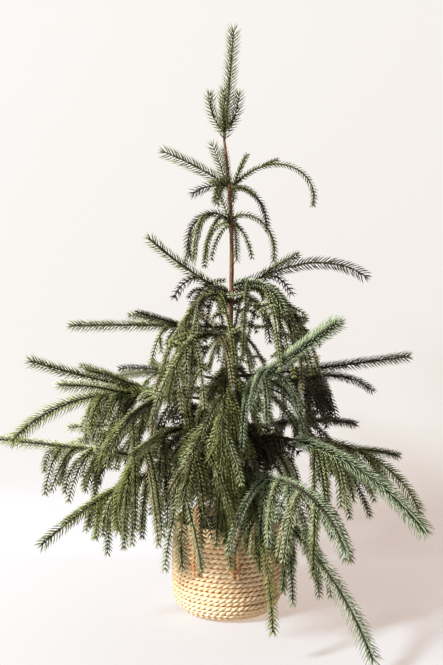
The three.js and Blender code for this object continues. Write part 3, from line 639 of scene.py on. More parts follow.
# One row for each bough: its ring and side, its height on the trunk, the way it points, its
# length, its rise at the foot and at the tip and how late it bends, its bare length, the reach
# of its needles, its forward shoots and where they leave, the shoots at its foot, and its
# hanging twigs, their length and how far out they go.
BOUGH_COLUMNS = ("tier", "side", "height", "azimuth", "length", "rise", "tip", "bend",
                 "bare", "reach", "forks", "fork_at", "root_shoots", "twigs", "weep", "weep_to")
BOUGH_ROWS = [
    (7, "left", 1.177, 195, 0.205, 36, 19, 0.7, 0, 0.024, 0, 0, 2, 0, 0, 0),
    (7, "right", 1.168, 357, 0.330, 48, -104, 1.52, 0, 0.012, 1, 0.24, 1, 0, 0, 0),
    (7, "front_right", 1.166, 318, 0.205, 40, -86, 0.6, 0, 0.013, 0, 0, 2, 0, 0, 0),
    (7, "back", 1.186, 100, 0.200, 32, -50, 1, 0, 0.020, 1, 0.42, 2, 2, 0.080, 0.5),
    (6, "left", 1.070, 206, 0.236, 78, -116, 0.72, 0, 0.016, 0, 0, 1, 3, 0.180, 0.5),
    (6, "right", 1.084, 348, 0.215, 78, -100, 0.5, 0, 0.013, 0, 0, 0, 0, 0, 0),
    (6, "back", 1.048, 85, 0.270, 55, -80, 0.9, 0, 0.016, 0, 0, 1, 2, 0.110, 0.6),
    (5, "left", 0.881, 188, 0.275, 20, 42, 0.6, 0, 0.023, 0, 0, 0, 2, 0.150, 0.28),
    (5, "right", 0.889, 353, 0.391, 26, -37, 2.14, 0, 0.024, 1, 0.14, 0, 1, 0.120, 0.22),
    (5, "front", 0.902, 316, 0.230, 20, -70, 1.2, 0, 0.018, 0, 0, 0, 6, 0.230, 0.9),
    (5, "front_left", 0.852, 226, 0.330, 70, -98, 0.55, 0, 0.016, 0, 0, 0, 6, 0.210, 0.85),
    (5, "right_front", 0.866, 335, 0.336, 72, -94, 0.58, 0, 0.015, 0, 0, 0, 6, 0.230, 0.85),
    (5, "back_right", 0.846, 58, 0.300, 45, -80, 0.8, 0, 0.018, 0, 0, 0, 4, 0.220, 0.8),
    (5, "back_left", 0.870, 122, 0.300, 45, -78, 0.8, 0, 0.018, 0, 0, 0, 4, 0.220, 0.8),
    (4, "left", 0.786, 184, 0.440, 4, -1, 0.7, 0, 0.022, 2, 0.26, 0, 3, 0.140, 0.42),
    (4, "front_left", 0.729, 240, 0.400, 39, -80, 1, 0, 0.019, 0, 0, 0, 5, 0.170, 0.85),
    (4, "back", 0.760, 88, 0.420, 20, -44, 1, 0, 0.021, 1, 0.42, 0, 5, 0.200, 0.7),
    (3, "left", 0.583, 191, 0.553, 1, 18, 0.5, 0.150, 0.024, 2, 0.42, 0, 4, 0.140, 0.58),
    (3, "right", 0.650, 2, 0.508, 3, 8, 0.5, 0.110, 0.022, 0, 0, 0, 6, 0.170, 0.46),
    (3, "front_right", 0.577, 309, 0.475, 30, 27, 2, 0, 0.026, 1, 0.42, 0, 7, 0.190, 0.44),
    (3, "front_left", 0.600, 222, 0.457, 17, -55, 1.2, 0, 0.022, 1, 0.42, 0, 6, 0.190, 0.8),
    (3, "back_right", 0.601, 28, 0.518, 10, -37, 3, 0.130, 0.020, 0, 0, 0, 4, 0.140, 0.55),
    (3, "back_left", 0.634, 136, 0.480, 8, -10, 1, 0.130, 0.022, 2, 0.42, 0, 4, 0.150, 0.6),
    (3, "back", 0.640, 84, 0.500, 40, -92, 0.8, 0, 0.020, 0, 0, 0, 6, 0.170, 0.9),
    (3, "front", 0.650, 266, 0.540, 46, -96, 0.58, 0, 0.023, 0, 0, 0, 7, 0.150, 0.95),
    (2, "left", 0.527, 199, 0.632, 25, -47, 1.6, 0.190, 0.028, 1, 0.42, 0, 5, 0.150, 0.62),
    (2, "right_front", 0.470, 324, 0.633, 19, -47, 0.92, 0.200, 0.031, 0, 0, 0, 6, 0.170, 0.55),
    (2, "right", 0.444, 4, 0.637, 12, -69, 1.62, 0.180, 0.024, 1, 0.42, 0, 5, 0.140, 0.70),
    (2, "front", 0.497, 254, 0.610, 33, -102, 1.04, 0, 0.021, 0, 0, 0, 7, 0.190, 0.58),
    (2, "front_left", 0.456, 232, 0.574, 32, -96, 1.45, 0.120, 0.023, 1, 0.42, 0, 7, 0.210, 0.8),
    (2, "back_right", 0.505, 47, 0.640, -2, -14, 3, 0.180, 0.021, 1, 0.42, 0, 4, 0.160, 0.6),
    (2, "back", 0.490, 98, 0.560, 32, -92, 1.1, 0, 0.022, 0, 0, 0, 7, 0.190, 0.8),
    (2, "back_left", 0.474, 156, 0.600, 10, -36, 1.4, 0.190, 0.025, 1, 0.42, 0, 5, 0.170, 0.7),
    (1, "left", 0.396, 183, 0.655, 8, 7, 1, 0.230, 0.023, 0, 0, 0, 5, 0.160, 0.72),
    (1, "front_left", 0.405, 207, 0.571, 33, -37, 0.41, 0.170, 0.023, 1, 0.42, 0, 7, 0.150, 0.68),
    (1, "front_right", 0.353, 306, 0.663, -8, -59, 1.42, 0.190, 0.027, 0, 0, 0, 5, 0.160, 0.45),
    (1, "right_front", 0.363, 294, 0.646, 11, -54, 3.35, 0.140, 0.024, 0, 0, 0, 8, 0.180, 0.8),
    (1, "front", 0.375, 285, 0.595, 47, -85, 0.61, 0, 0.018, 0, 0, 0, 8, 0.120, 0.62),
    (1, "back_right", 0.424, 64, 0.560, 14, -62, 1.3, 0, 0.024, 1, 0.42, 0, 5, 0.180, 0.75),
    (1, "back", 0.392, 124, 0.560, 14, -62, 1.3, 0, 0.024, 1, 0.42, 0, 5, 0.180, 0.75),
]


def heading(azimuth, rise):
    a, r = np.radians(azimuth), np.radians(rise)
    return np.stack([np.cos(a) * np.cos(r), np.sin(a) * np.cos(r), np.sin(r) + 0 * a], axis=-1)


def rise_at(arch, share):
    return arch["rise"] + (arch["tip"] - arch["rise"]) * share ** arch["bend"]


def path_of(arch):
    """Points at equal steps along an arch that stays in one upright plane."""
    steps = max(LEAST_STEPS, math.floor(arch["length"] / PATH_STEP + 0.5))
    ways = heading(arch["azimuth"], rise_at(arch, (np.arange(steps) + 0.5) / steps))
    return arch["start"] + np.concatenate([[[0, 0, 0]], np.cumsum(ways * arch["length"] / steps, axis=0)])


def point_on(path, share):
    place = min(max(share, 0), 1) * (len(path) - 1)
    step = min(int(place), len(path) - 2)
    return path[step] + (path[step + 1] - path[step]) * (place - step)


def limb_radii(bough):
    """The limb's thickness at each point: its foot, its bare length and on to its tip."""
    share = np.linspace(0, 1, len(bough["path"]))
    foot = LIMB_RADIUS + LIMB_RADIUS_PER_LENGTH * bough["length"]
    bare_share = max(LEAST_BARE_SHARE, bough["bare"] / bough["length"])
    bare = foot * (1 + (LIMB_TAPER - 1) * share / bare_share)
    inner = LIMB_TAPER * foot
    leafy = inner + (SHOOT_TIP_RADIUS - inner) * (share - bare_share) / (1 - bare_share)
    return np.where(share < bare_share, bare, leafy)


def wood_piece(name, lines, radii, roundness):
    """Tapering round wood along many lines, as one mesh with closed ends."""
    skeleton = bpy.data.curves.new(name, "CURVE")
    skeleton.dimensions = "3D"
    skeleton.bevel_depth = 1.0
    skeleton.bevel_resolution = roundness
    skeleton.use_fill_caps = True
    for line, line_radii in zip(lines, radii):
        spline = skeleton.splines.new("POLY")
        spline.points.add(len(line) - 1)
        spline.points.foreach_set("co", np.column_stack([line, np.ones(len(line))]).ravel())
        spline.points.foreach_set("radius", np.asarray(line_radii, float))
    piece = add_piece(name, skeleton)
    bpy.ops.object.select_all(action="DESELECT")
    piece.select_set(True)
    bpy.context.view_layer.objects.active = piece
    bpy.ops.object.convert(target="MESH")
    piece = bpy.context.object
    bpy.ops.object.shade_smooth()
    return piece


boughs = []
for index, row in enumerate(BOUGH_ROWS):
    bough = dict(zip(BOUGH_COLUMNS, row), index=index)
    bough["start"] = trunk_centre(bough["height"])
    bough["path"] = path_of(bough)
    boughs.append(bough)

limb_bark = uneven_finish("limb_bark", light=(84, 62, 45), dark=(33, 24, 19), scale=190,
                          stretch=(1, 1, 1), roughness=0.75, raised=0.0006)
TIERS = sorted({bough["tier"] for bough in boughs})
for tier in TIERS:
    ring = [bough for bough in boughs if bough["tier"] == tier]
    limbs = wood_piece(f"limbs_ring_{tier}", [b["path"] for b in ring], [limb_radii(b) for b in ring],
                       LIMB_ROUNDNESS)
    thick = limbs.modifiers.new("rings", "SUBSURF")
    thick.subdivision_type = "SIMPLE"
    thick.levels = thick.render_levels = 1
    bpy.ops.object.modifier_apply(modifier="rings")
    relief(limbs, f"limb_scales_{tier}", size=0.006, strength=0.0011)
    limbs.data.materials.append(limb_bark)
    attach(limbs, "root")
    bare_limbs = [f"bough_{b['tier']}_{b['side']}" for b in ring if b["bare"]]
    if bare_limbs:
        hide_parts(*bare_limbs)


# Shoots
# Thin woody growth on the boughs: forward shoots, short ones at the foot, twigs that leave to
# both sides in turn, arch over and hang, finer and crossing ones on those, and ones near the
# trunk whose needles are painted shade. All follow one seeded rule for each bough and are drawn
# as tapering round wood.
FORK = {"spread": 30, "turns": (0.8, 1.3), "stagger": 0.16, "lengths": (0.3, 0.38), "lift": 14,
        "tip_drop": 6, "tip_range": 16, "reach": 0.8}
SLENDER_REACH = 0.022
ROOT_SHOOT = {"share": 0.04, "turns": (6, 26), "rises": ((68, 62), (8, -34)), "length": 0.112,
              "lengths": (0.85, 1.1)}
TWIG = {"first": 0.1, "slot_start": 0.2, "slot_width": 0.6, "spread": 52, "turns": (0.55, 1.25),
        "lengths": (0.75, 1.25), "fullest": 1.18, "shortening": 0.4, "lift": 12, "steepest": 30,
        "tips": (-84, -70), "bend": 0.34}
FINE_TWIG = {"bends": (0.34, 0.7), "tips": (-96, -62), "lengths": (0.85, 1.25)}
# Twigs near the trunk: partly the old growth inside the crown, partly painted shade there.
INNER_TWIG = {"first": 0.03, "out": 0.12, "turns": (30, 80), "lift": 10, "tips": (-80, -30),
              "bend": 0.6, "lengths": (0.06, 0.15)}
CROSSING_TWIG = {"shares": (0.2, 0.85), "turns": (50, 150), "rises": (-25, 45), "tips": (-75, 15),
                 "bend": 0.8, "lengths": (0.045, 0.085)}
TWIGLET = {"shares": (0.2, 0.6), "turns": (25, 70), "lift": 34, "steepest": 20, "tip": -80,
           "bend": 0.5, "lengths": (0.34, 0.55)}
UPPER_TIER = 4
TWIG_REACH = 0.015
UPPER_TWIG_REACH = 0.0115
TWIGLET_REACH = 0.012
CROSSING_REACH = 0.0105
INNER_REACH = 0.017
FINE_TWIGS_PER_TWIG = {4: 0.7, 5: 0.15, 6: 0.4, 7: 1}
OTHER_FINE_TWIGS = 1.2
FRONT_FINE_TWIGS = 2.2
FRONT_FINE_TO = {2: 0.74}
INNER_TWIGS = {1: 20, 2: 15, 5: 1}
TWIGLET_SHARES = {4: 0.3, 5: 0}
OTHER_TWIGLET_SHARE = 0.2
CROSSING_TWIGS = {4: 1, 5: 2}
SHORTER_TRIES = (1, 0.8, 0.6, 0.42)
TWIG_ROUNDNESS = 0
TWIG_FOOT_RADIUS = 0.0022
TWIGLET_FOOT_RADIUS = 0.7 * TWIG_FOOT_RADIUS
INNER_FOOT_RADIUS = 0.8 * TWIG_FOOT_RADIUS
TWIG_TIP_RADIUS = 0.7 * SHOOT_TIP_RADIUS
LONG_PATH = 6
STEM_FIRST_NEEDLE = 0.02
FLOOR_GAP = 0.006
WALL_GAP = 0.006
INSIDE_GAP = 0.02
HANDLE_GAP = 0.02
HANDLE_TOP_GAP = 0.015
ABOVE_RIM_REACH, INSIDE_REACH, CLEAR_REACH = 0.3, 0.4, 0.5
FORK_STREAM, ROOT_SHOOT_STREAM, TWIG_STREAM_STEP, FINE_STREAM = 500, 600, 10, 700
FINE_SWING_STREAM, INNER_STREAM, TWIGLET_STREAM = 5000, 900, 3000
STREAM_START, STREAM_BOUGH_STEP, STREAM_TWIG_STEP = 12345, 7919, 104729
STREAM_FACTOR, STREAM_SHIFT, STREAM_SIZE = 1664525, 1013904223, 2**32


def seeded_stream(bough_index, twig_index):
    """A repeatable stream of numbers from 0 to 1 for each twig of each bough."""
    state = (bough_index * STREAM_BOUGH_STEP + twig_index * STREAM_TWIG_STEP + STREAM_START) % STREAM_SIZE
    while True:
        state = (state * STREAM_FACTOR + STREAM_SHIFT) % STREAM_SIZE
        yield state / STREAM_SIZE


def between(low, high, share):
    return low + (high - low) * share


def in_turn(index):
    """One side and the other in turn."""
    return -1 if index % 2 else 1


def either_side(random):
    return 1 if next(random) > 0.5 else -1


def fork_arch(bough, index):
    """A forward side shoot from the middle of a bough, short where the bough is slender."""
    random = seeded_stream(bough["index"], FORK_STREAM + index)
    turn = in_turn(index) * FORK["spread"] * between(*FORK["turns"], next(random))
    share = bough["fork_at"] + FORK["stagger"] * next(random)
    rise = rise_at(bough, share)
    slender = min(1, bough["reach"] / SLENDER_REACH)
    length = bough["length"] * between(*FORK["lengths"], next(random)) * slender
    return {"start": point_on(bough["path"], share), "azimuth": bough["azimuth"] + turn,
            "rise": rise + FORK["lift"], "tip": rise - FORK["tip_drop"] + FORK["tip_range"] * next(random),
            "bend": 1, "length": length}


def root_shoot_arch(bough, index):
    """A short shoot from the foot of an upper bough, the first one upright and the next level."""
    random = seeded_stream(bough["index"], ROOT_SHOOT_STREAM + index)
    turn = in_turn(index) * between(*ROOT_SHOOT["turns"], next(random))
    rise, tip = ROOT_SHOOT["rises"][index % 2]
    return {"start": point_on(bough["path"], ROOT_SHOOT["share"]), "azimuth": bough["azimuth"] + turn,
            "rise": rise, "tip": tip, "bend": 1,
            "length": ROOT_SHOOT["length"] * between(*ROOT_SHOOT["lengths"], next(random))}


def twig_arch(bough, index, count, stream):
    """Twig number index of count along the part of the bough that weeps."""
    random = seeded_stream(bough["index"], stream)
    first = bough["bare"] / bough["length"] + TWIG["first"]
    along = (index + TWIG["slot_start"] + TWIG["slot_width"] * next(random)) / count
    share = between(first, bough["weep_to"], along)
    turn = in_turn(index) * TWIG["spread"] * between(*TWIG["turns"], next(random))
    fullness = TWIG["fullest"] - TWIG["shortening"] * along
    length = bough["weep"] * between(*TWIG["lengths"], next(random)) * fullness
    return {"start": point_on(bough["path"], share), "azimuth": bough["azimuth"] + turn,
            "rise": min(TWIG["steepest"], rise_at(bough, share) + TWIG["lift"]),
            "tip": between(*TWIG["tips"], next(random)), "bend": TWIG["bend"], "length": length}


def fine_twig_arch(bough, index, count, stream):
    """A finer twig between the others, which swings out a little further before it hangs."""
    arch = twig_arch(bough, index, count, stream)
    random = seeded_stream(bough["index"], stream + FINE_SWING_STREAM)
    arch["bend"] = between(*FINE_TWIG["bends"], next(random))
    arch["tip"] = between(*FINE_TWIG["tips"], next(random))
    arch["length"] *= between(*FINE_TWIG["lengths"], next(random))
    return arch


def inner_twig_arch(bough, index, stream):
    """A twig on the inner length of a bough, close to the trunk, whose needles are painted shade."""
    random = seeded_stream(bough["index"], stream)
    share = between(INNER_TWIG["first"], INNER_TWIG["out"] / bough["length"], next(random))
    turn = in_turn(index) * between(*INNER_TWIG["turns"], next(random))
    return {"start": point_on(bough["path"], share), "azimuth": bough["azimuth"] + turn,
            "rise": rise_at(bough, share) + INNER_TWIG["lift"],
            "tip": between(*INNER_TWIG["tips"], next(random)), "bend": INNER_TWIG["bend"],
            "length": between(*INNER_TWIG["lengths"], next(random))}


def crossing_arch(parent, path, random):
    """A short twig of the tangle below the bare trunk, which leaves a hanging one to any side."""
    share = between(*CROSSING_TWIG["shares"], next(random))
    turn = either_side(random) * between(*CROSSING_TWIG["turns"], next(random))
    return {"start": point_on(path, share), "azimuth": parent["azimuth"] + turn,
            "rise": between(*CROSSING_TWIG["rises"], next(random)),
            "tip": between(*CROSSING_TWIG["tips"], next(random)), "bend": CROSSING_TWIG["bend"],
            "length": between(*CROSSING_TWIG["lengths"], next(random))}


def twiglet_arch(parent, path, random):
    """A finer twig that leaves a hanging one part way down and falls beside it."""
    share = between(*TWIGLET["shares"], next(random))
    turn = either_side(random) * between(*TWIGLET["turns"], next(random))
    return {"start": point_on(path, share), "azimuth": parent["azimuth"] + turn,
            "rise": min(TWIGLET["steepest"], rise_at(parent, share) + TWIGLET["lift"]),
            "tip": TWIGLET["tip"], "bend": TWIGLET["bend"],
            "length": parent["length"] * between(*TWIGLET["lengths"], next(random))}


def stands_clear(path, reach):
    """True where a shoot stays off the floor, the basket's wall and rim, and the handles."""
    far = path[1:]
    out, level = np.hypot(far[:, 0], far[:, 1]), far[:, 2]
    low = level < BASKET_HEIGHT + WALL_GAP + ABOVE_RIM_REACH * reach
    inside = (out < RIM_RADIUS - INSIDE_GAP - INSIDE_REACH * reach) & (level > SOIL_LEVEL + reach)
    in_wall = low & ~inside & (out < BELLY_RADIUS + WALL_GAP + CLEAR_REACH * reach)
    if np.any(level < FLOOR_GAP + CLEAR_REACH * reach) or np.any(in_wall):
        return False
    for azimuth in HANDLE_AZIMUTHS.values():
        way, side = heading(azimuth, 0), heading(azimuth + 90, 0)
        beside = np.abs(far @ side) < HANDLE_SPAN / 2 + HANDLE_GAP
        near = np.abs(far @ way - RIM_RADIUS) < HANDLE_GAP + CLEAR_REACH * reach
        if np.any(beside & near & (level < BASKET_HEIGHT + HANDLE_RISE + HANDLE_TOP_GAP)):
            return False
    return True


shoots = []


def add_shoot(bough, kind, arch, reach, foot_radius):
    """Adds a shoot, shorter where it would touch something, or leaves it out. Gives its path."""
    for shorter in SHORTER_TRIES:
        path = path_of({**arch, "length": shorter * arch["length"]})
        if stands_clear(path, reach):
            shoots.append({"bough": bough, "kind": kind, "path": path, "reach": reach,
                           "foot_radius": foot_radius, "first_needle": 0.0})
            return path
    return None


for bough in boughs:
    tier = bough["tier"]
    shoots.append({"bough": bough, "kind": "stem", "path": bough["path"], "reach": bough["reach"],
                   "foot_radius": None,
                   "first_needle": bough["bare"] / bough["length"] + STEM_FIRST_NEEDLE})
    arches = [root_shoot_arch(bough, index) for index in range(bough["root_shoots"])]
    arches += [fork_arch(bough, index) for index in range(bough["forks"])]
    for arch in arches:
        add_shoot(bough, "fork", arch, FORK["reach"] * bough["reach"], TWIG_FOOT_RADIUS)
    in_front = bough["side"] == "front" and tier < UPPER_TIER
    fine_share = FRONT_FINE_TWIGS if in_front else FINE_TWIGS_PER_TWIG.get(tier, OTHER_FINE_TWIGS)
    fine_to = FRONT_FINE_TO.get(tier, bough["weep_to"]) if in_front else bough["weep_to"]
    fine_bough = {**bough, "weep_to": fine_to}
    count, fine_count = bough["twigs"], round(bough["twigs"] * fine_share)
    arches = [twig_arch(bough, index, count, TWIG_STREAM_STEP * index) for index in range(count)]
    arches += [fine_twig_arch(fine_bough, index, fine_count, FINE_STREAM + index)
               for index in range(fine_count)]
    for number, arch in enumerate(arches):
        twig_reach = TWIG_REACH if tier < UPPER_TIER else UPPER_TWIG_REACH
        path = add_shoot(bough, "twig", arch, twig_reach, TWIG_FOOT_RADIUS)
        if path is None:
            continue
        random = seeded_stream(bough["index"], TWIGLET_STREAM + number)
        if next(random) < TWIGLET_SHARES.get(tier, OTHER_TWIGLET_SHARE):
            twiglet = twiglet_arch(arch, path, random)
            add_shoot(bough, "twiglet", twiglet, TWIGLET_REACH, TWIGLET_FOOT_RADIUS)
        for _ in range(CROSSING_TWIGS.get(tier, 0)):
            crossing = crossing_arch(arch, path, random)
            add_shoot(bough, "twiglet", crossing, CROSSING_REACH, TWIGLET_FOOT_RADIUS)
    for index in range(INNER_TWIGS.get(tier, 0)):
        arch = inner_twig_arch(bough, index, INNER_STREAM + index)
        add_shoot(bough, "inner", arch, INNER_REACH, INNER_FOOT_RADIUS)

LEADER_TIER = 8
LEADER_LENGTH = 0.302
LEADER_REACH = 0.024
LEADER_SUNK = 0.002
LEADER_SIDE_AZIMUTHS = (184, 352, 92, 268)
LEADER_SIDE_HEIGHT = 0.024
LEADER_SIDE_LENGTH = 0.114
LEADER_SIDE_REACH = 0.021
leader = {"tier": LEADER_TIER, "side": "leader"}
leader_foot = trunk_centre(TRUNK_TOP) - np.array([0, 0, LEADER_SUNK])
leader_arch = {"start": leader_foot, "azimuth": 0, "rise": 84, "tip": 86.5, "bend": 1,
               "length": LEADER_LENGTH}
add_shoot(leader, "fork", leader_arch, LEADER_REACH, TRUNK_TIP_RADIUS)
for azimuth in LEADER_SIDE_AZIMUTHS:
    side_foot = leader_foot + np.array([0, 0, LEADER_SIDE_HEIGHT])
    side_arch = {"start": side_foot, "azimuth": azimuth, "rise": 36, "tip": 92, "bend": 0.7,
                 "length": LEADER_SIDE_LENGTH}
    add_shoot(leader, "fork", side_arch, LEADER_SIDE_REACH, TWIG_FOOT_RADIUS)

twig_bark = uneven_finish("twig_bark", light=(66, 50, 34), dark=(28, 21, 15), scale=240,
                          stretch=(1, 1, 1), roughness=0.7, raised=0.0004)
for tier in TIERS + [LEADER_TIER]:
    grown = [s for s in shoots if s["bough"]["tier"] == tier and s["foot_radius"]]
    lines = [s["path"][::2] if len(s["path"]) > LONG_PATH else s["path"] for s in grown]
    radii = [np.linspace(s["foot_radius"], TWIG_TIP_RADIUS, len(line)) for line, s in zip(lines, grown)]
    twigs = wood_piece(f"twigs_ring_{tier}", lines, radii, TWIG_ROUNDNESS)
    twigs.data.materials.append(twig_bark)
    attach(twigs, "root")


# Needles
# Stiff three-sided needles set in whorls all round each shoot, which leave it widely and bend
# forward, in sprays from brown-olive inside the crown to pale mint on the long front shoots.
# The brown-olive inside the crown is partly old growth and partly painted shade, the dark greens
# on the boughs away from the light are painted shade, and every needle has painted shade
# towards its foot.
NEEDLE_SIDES = 3
NEEDLE_BEND_AT = 0.5
NEEDLE_ROOT_SHARE = 0.8
NEEDLE_SEED = 40
NEEDLES_PER_WHORL = 6
LEAST_WHORLS = 5
WHORL_SCATTER = 0.06
ROW_SCATTER = 0.1
LENGTH_SCATTER = 0.05
LEAN_SCATTER = 2.5
END_LEAN, END_LENGTH = 0.45, 0.5
LEVEL_ROWS, HANGING_ROWS = 0.0, math.pi / 6
ROWS_FROM = np.array([0.31, -0.22, 0.93])
# For each kind of shoot: whorls per metre, needle length as a share of the reach, lean from the
# shoot at the root and past the bend, thickness, and where round the shoot the rows start.
NEEDLE_FORMS = {
    "stem": (112, 1.34, (54, 44), 0.00150, LEVEL_ROWS),
    "fork": (112, 1.34, (54, 44), 0.00145, LEVEL_ROWS),
    "twig": (106, 1.38, (52, 38), 0.00145, HANGING_ROWS),
    "twiglet": (106, 1.38, (52, 38), 0.00140, HANGING_ROWS),
    "inner": (66, 1.35, (60, 46), 0.00170, LEVEL_ROWS),
    "spire": (112, 1.48, (50, 42), 0.00130, LEVEL_ROWS),
    "thick": (124, 1.30, (52, 42), 0.00155, LEVEL_ROWS),
}
LEADING_KINDS = ("stem", "fork")
THICK_BOUGHS = [(3, "front_right"), (2, "right_front")]
THICK_WHORL = 10
SPIRE_TIERS = (6, 7, 8)
UPPER_LEAN = 0.8
NEEDLE_FINISHES = {
    # The shade green is painted shade, for the inner twigs, the sprays near the trunk and the boughs away
    # from the light.
    "shade": ((118, 104, 82), (74, 64, 50)),
    "dusk": ((98, 96, 62), (56, 54, 33)),
    "olive": ((162, 168, 112), (98, 103, 57)),
    "moss": ((190, 198, 128), (118, 126, 66)),
    "sage": ((222, 228, 182), (150, 157, 110)),
    "mint": ((206, 218, 184), (146, 162, 126)),
    "straw": ((224, 218, 176), (154, 148, 106)),
}
FINISH_NAMES = list(NEEDLE_FINISHES)
# Painted shade at the foot of each needle, as a share of its darker green.
NEEDLE_FOOT_SHADE = 0.14
NEEDLE_FOOT, NEEDLE_BEND, NEEDLE_TIP = 0, 0.74, 1
# Sprays that end this close to the trunk get dark greens as painted shade.
PAINTED_SHADE_RADIUS = 0.14
PALE_BOUGHS = [(5, "front"), (3, "front_right"), (2, "right_front"), (1, "front_right"),
               (1, "right_front")]
# Boughs at the right and back right, away from the light, whose needles get dark greens as painted shade.
PAINTED_SHADE_BOUGHS = [(3, "right"), (3, "back_right"), (2, "back_right")]


def needle_finish(name, light, dark):
    """Needles of one green, with painted shade that darkens each needle towards its foot."""
    material = uneven_finish(name, light, dark, scale=60, stretch=(1, 1, 1), roughness=0.4, raised=0)
    tree = material.node_tree
    outer = add_node(tree, "Attribute", {}, attribute_name="outer")
    # The painted shade at the foot of the needle, where the needles crowd on the shoot.
    painted_foot_shade = [NEEDLE_FOOT_SHADE * c for c in linear(*dark)[:3]] + [1]
    foot = add_node(tree, "Mix", {"Factor": outer.outputs["Fac"], "A": painted_foot_shade,
                                  "B": tree.nodes["patches"].outputs["Color"]}, data_type="RGBA")
    set_inputs(tree, tree.nodes["Principled BSDF"], {"Base Color": foot.outputs["Result"]})
    return material


needle_finishes = [needle_finish(f"needles_{name}", light, dark)
                   for name, (light, dark) in NEEDLE_FINISHES.items()]


def spray_finish(shoot, chance):
    """Which green a spray gets, by its bough and by how far out on the plant it is; the inner twigs, the
    sprays near the trunk and the boughs away from the light get dark greens as painted shade.
    """
    tier, side, kind = shoot["bough"]["tier"], shoot["bough"]["side"], shoot["kind"]
    leading = kind in LEADING_KINDS
    pale = (tier, side) in PALE_BOUGHS
    if kind == "inner":
        weights = {"shade": 1}
    elif pale and leading:
        weights = {"mint": 1}
    elif pale:
        weights = {"sage": 4, "mint": 2, "olive": 2}
    elif tier == LEADER_TIER:
        weights = {"olive": 4, "moss": 1}
    elif tier > 5:
        weights = {"dusk": 2, "olive": 5} if leading else {"olive": 3, "moss": 2, "sage": 4}
    elif (tier, side) in PAINTED_SHADE_BOUGHS:
        weights = {"dusk": 1} if leading else {"shade": 3, "dusk": 2}
    elif leading:
        weights = {"olive": 2, "moss": 2, "sage": 2} if tier < 3 else {"dusk": 2, "olive": 5}
    elif np.hypot(*shoot["path"][-1][:2]) < PAINTED_SHADE_RADIUS:
        weights = {"shade": 4, "olive": 4, "moss": 1}
    elif tier > 3:
        weights = {"olive": 2, "moss": 3, "sage": 6, "straw": 3}
    else:
        weights = {"olive": 5, "moss": 4, "sage": 4, "straw": 1}
    share = np.array([weights.get(name, 0) for name in FINISH_NAMES], float)
    return chance.choice(len(FINISH_NAMES), p=share / share.sum())


def needles_of(shoot, chance):
    """Root, bend and tip of every needle on a shoot, the shoot's own way there, and the thickness."""
    bough, kind, path, reach = shoot["bough"], shoot["kind"], shoot["path"], shoot["reach"]
    per_whorl = NEEDLES_PER_WHORL
    if kind in LEADING_KINDS and bough["tier"] in SPIRE_TIERS:
        kind = "spire"
    elif kind in LEADING_KINDS and (bough["tier"], bough["side"]) in THICK_BOUGHS:
        kind = "thick"
        per_whorl = THICK_WHORL
    whorls_per_metre, long, (root_lean, outer_lean), radius, rows = NEEDLE_FORMS[kind]
    run = run_along(path)
    first = shoot["first_needle"] * run[-1]
    leafy = run[-1] - first
    whorls = max(LEAST_WHORLS, int(leafy * whorls_per_metre))
    count = per_whorl * whorls
    number = np.arange(count) // per_whorl
    place = first + leafy * np.clip((number + chance.normal(0.5, WHORL_SCATTER, count)) / whorls, 0, 1)
    roots = read_off(place, run, path)
    along = unit(read_off(place, run, np.gradient(path, axis=0)))
    aside = unit(np.cross(along, ROWS_FROM))
    upward = np.cross(aside, along)
    turn = rows + 2 * math.pi * np.arange(count) / per_whorl + chance.normal(0, ROW_SCATTER, count)
    outward = np.cos(turn)[:, None] * aside + np.sin(turn)[:, None] * upward
    share = (place - first) / leafy
    end_close = np.clip(END_LEAN + (1 - share) * run[-1] / reach, END_LEAN, 1)
    scatter = chance.normal(1, LENGTH_SCATTER, count)
    length = long * reach * scatter * (END_LENGTH + (1 - END_LENGTH) * end_close)
    laid = end_close * (1 - (1 - UPPER_LEAN) * np.clip(outward[:, 2], 0, 1))
    lean = np.radians(root_lean * laid + chance.normal(0, LEAN_SCATTER, count))[:, None]
    tip_lean = np.radians(outer_lean * laid + chance.normal(0, LEAN_SCATTER, count))[:, None]
    root_way = np.cos(lean) * along + np.sin(lean) * outward
    tip_way = np.cos(tip_lean) * along + np.sin(tip_lean) * outward
    bends = roots + (NEEDLE_BEND_AT * length)[:, None] * root_way
    tips = bends + ((1 - NEEDLE_BEND_AT) * length)[:, None] * tip_way
    return roots, bends, tips, along, np.full(count, radius)


